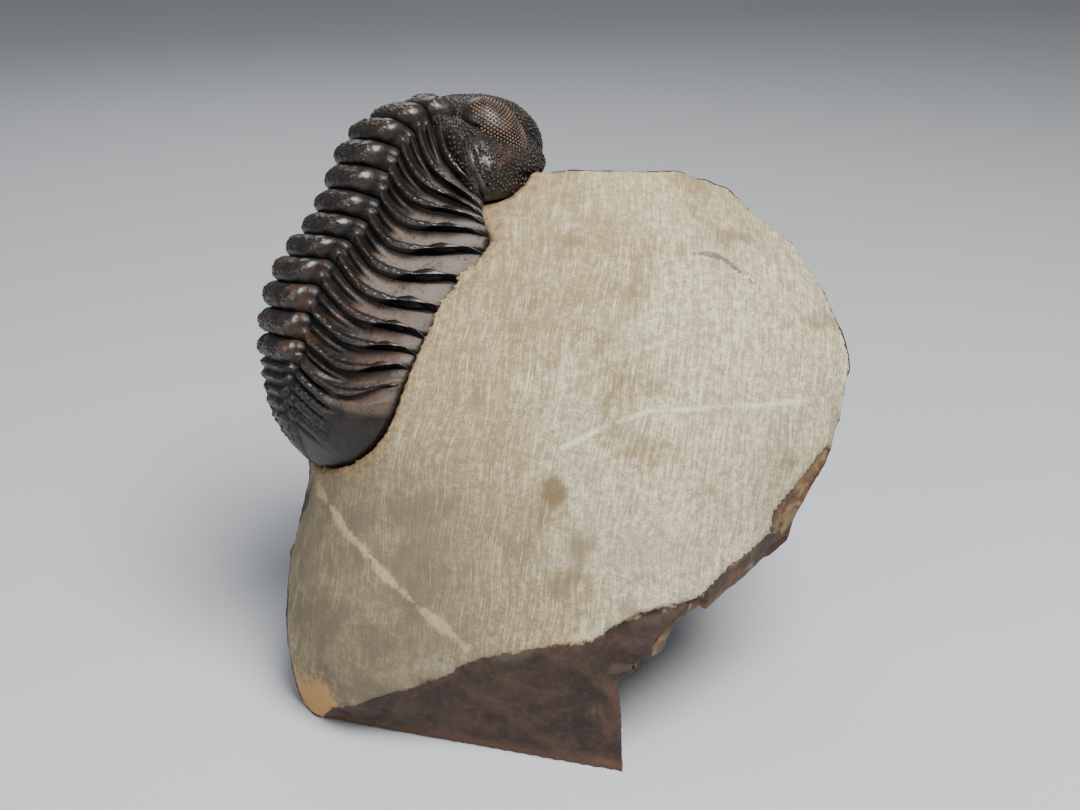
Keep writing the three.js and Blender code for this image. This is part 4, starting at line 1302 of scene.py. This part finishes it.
class TrilobiteSettings(bpy.types.PropertyGroup):
    granule_spacing: size("Granule spacing", "Least gap between granules", 0.44)
    granule_least: size("Smallest granule", "Radius of the smallest granules", 0.15)
    granule_most: size("Largest granule", "Radius of the largest granules", 0.32)
    lens_spacing: size("Lens spacing", "From lens to lens", 0.46)
    lens_radius: size("Lens radius", "Radius of a lens", 0.2)
    stone_grain: size("Stone grain", "Width of one cell of the stone's mesh", 0.48)
    shell_columns: IntProperty(name="Shell columns", description="Points across a plate", default=224)
    shell_rows: IntProperty(name="Shell rows", description="Points along a plate", default=36)
    shell_dark: colour("Shell dark", "Darkest shell", (0.0075, 0.0068, 0.0062))
    shell_brown: colour("Shell brown", "Brown of the raised shell", (0.026, 0.0165, 0.011))
    shell_worn: colour("Shell worn", "Rubbed high spots", (0.05, 0.04, 0.032))
    # The facet colours hold the facets' own paler tone together with painted light on their upward faces.
    facet_grey: colour("Facet grey", "Smooth facets further forward", (0.145, 0.112, 0.09))
    facet_rust: colour("Facet rust", "Smooth facets further back", (0.11, 0.048, 0.028))
    lens_dark: colour("Lens dark", "Darker lenses", (0.02, 0.012, 0.008))
    lens_brown: colour("Lens brown", "Paler lenses", (0.085, 0.048, 0.026))
    seat_brown: colour("Seat brown", "Stone left beside the shell", (0.15, 0.085, 0.045))
    stone_pale: colour("Stone pale", "Ground face", (0.55, 0.50, 0.335))
    stone_grey: colour("Stone grey", "Greyer parts of the ground face", (0.28, 0.25, 0.17))
    stone_light: colour("Stone light", "Scratches and calcite", (0.74, 0.69, 0.50))
    stone_tan: colour("Stone tan", "Tan blotches", (0.23, 0.17, 0.08))
    # Stone blotch and shade: dark blotches and the crack, and also the painted shade on the ground face's
    # lower left.
    stone_shade: colour("Stone shade", "Dark blotches of the ground face", (0.12, 0.095, 0.065))
    stone_stain: colour("Stone stain", "Rusty brown stain", (0.125, 0.085, 0.04))
    stone_vein: colour("Stone vein", "Calcite vein", (0.42, 0.31, 0.165))
    stone_orange: colour("Stone orange", "Orange weathering", (0.40, 0.235, 0.085))
    stone_brown: colour("Stone brown", "Weathered skin", (0.06, 0.031, 0.019))
    # Stone dark and shadow: the darker patches of the weathered skin, and the painted shadow below the broken
    # edge.
    stone_dark: colour("Stone dark", "Pits of the weathered skin", (0.02, 0.012, 0.009))
    stone_bark: colour("Stone bark", "Fresher brown of the broken edge", (0.17, 0.082, 0.038))
    stone_rust: colour("Stone rust", "Rusty specks", (0.14, 0.06, 0.034))
    floor_pale: colour("Floor", "Paper floor", (0.46, 0.48, 0.51))
    sky_strength: FloatProperty(name="Sky", description="Strength of the even light", default=0.22)
    key_power: power("Key", "Power of the main light", 4.9)
    fill_power: power("Fill", "Power of the filling light", 1.0)
    rim_power: power("Rim", "Power of the light behind", 0.5)
    camera_lens: FloatProperty(name="Lens", description="Focal length", default=49.5, unit="CAMERA")


class PieceMaker:
    """What the operators share: each one makes its pieces from the scene's settings."""

    def execute(self, context):
        self.make(context.scene.trilobite)
        return {"FINISHED"}


class TRILOBITE_OT_stone(PieceMaker, bpy.types.Operator):
    """Make the limestone block, with its ground face, broken sides and flat base"""

    bl_idname = "trilobite.stone"
    bl_label = "Stone"

    def make(self, props):
        build_stone(props, material("stone", props))


class TRILOBITE_OT_segments(PieceMaker, bpy.types.Operator):
    """Make the eleven overlapping segments of the thorax"""

    bl_idname = "trilobite.segments"
    bl_label = "Segments"

    def make(self, props):
        grid = (props.shell_rows, props.shell_columns)
        for index in range(1, SEGMENTS + 1):
            name = f"segment_{index:02d}"
            build_plate(name, f"thoracic_{name}", index - 1.0, float(index), grid, segment_relief,
                        SEGMENT_KNOBS, 100 + index, segment_tints(index), material("shell", props))


class TRILOBITE_OT_tail(PieceMaker, bpy.types.Operator):
    """Make the tail shield"""

    bl_idname = "trilobite.tail"
    bl_label = "Tail shield"

    def make(self, props):
        grid = (TAIL_ROWS, props.shell_columns)
        build_plate("tail_shield", "pygidium", float(SEGMENTS), TAIL_END, grid, tail_relief,
                    TAIL_KNOBS, 140, tail_tints, material("shell", props))


class TRILOBITE_OT_head(PieceMaker, bpy.types.Operator):
    """Make the head shield, its raised rear band and its granules"""

    bl_idname = "trilobite.head"
    bl_label = "Head shield"

    def make(self, props):
        grid = (BAND_ROWS, props.shell_columns)
        build_plate("head_rear_band", "cephalon", -1.0, 0.0, grid, segment_relief,
                    BAND_KNOBS, 90, segment_tints(0), material("shell", props))
        head = build_head(material("shell", props))
        build_granules(props, head, material("granule", props))


class TRILOBITE_OT_lenses(PieceMaker, bpy.types.Operator):
    """Make the lenses of both eyes"""

    bl_idname = "trilobite.lenses"
    bl_label = "Eye lenses"

    def make(self, props):
        build_lenses(props, material("lens", props))


class TRILOBITE_OT_stage(PieceMaker, bpy.types.Operator):
    """Make the floor, the lights and the camera"""

    bl_idname = "trilobite.stage"
    bl_label = "Stage"

    def make(self, props):
        build_stage(props)


OPERATORS = (
    TRILOBITE_OT_stone, TRILOBITE_OT_segments, TRILOBITE_OT_tail,
    TRILOBITE_OT_head, TRILOBITE_OT_lenses, TRILOBITE_OT_stage,
)


class TRILOBITE_PT_panel(bpy.types.Panel):
    """Lists the pieces in the sidebar"""

    bl_idname = "TRILOBITE_PT_panel"
    bl_label = "Trilobite"
    bl_space_type = "VIEW_3D"
    bl_region_type = "UI"
    bl_category = "Trilobite"

    def draw(self, context):
        for operator in OPERATORS:
            self.layout.operator(operator.bl_idname)


CLASSES = (TrilobiteSettings,) + OPERATORS + (TRILOBITE_PT_panel,)


def register():
    for cls in CLASSES:
        bpy.utils.register_class(cls)
    bpy.types.Scene.trilobite = PointerProperty(type=TrilobiteSettings)


def unregister():
    del bpy.types.Scene.trilobite
    for cls in reversed(CLASSES):
        bpy.utils.unregister_class(cls)


def main():
    register()
    bpy.ops.trilobite.stone()
    bpy.ops.trilobite.segments()
    bpy.ops.trilobite.tail()
    bpy.ops.trilobite.head()
    bpy.ops.trilobite.lenses()
    bpy.ops.trilobite.stage()


if __name__ == "__main__":
    main()
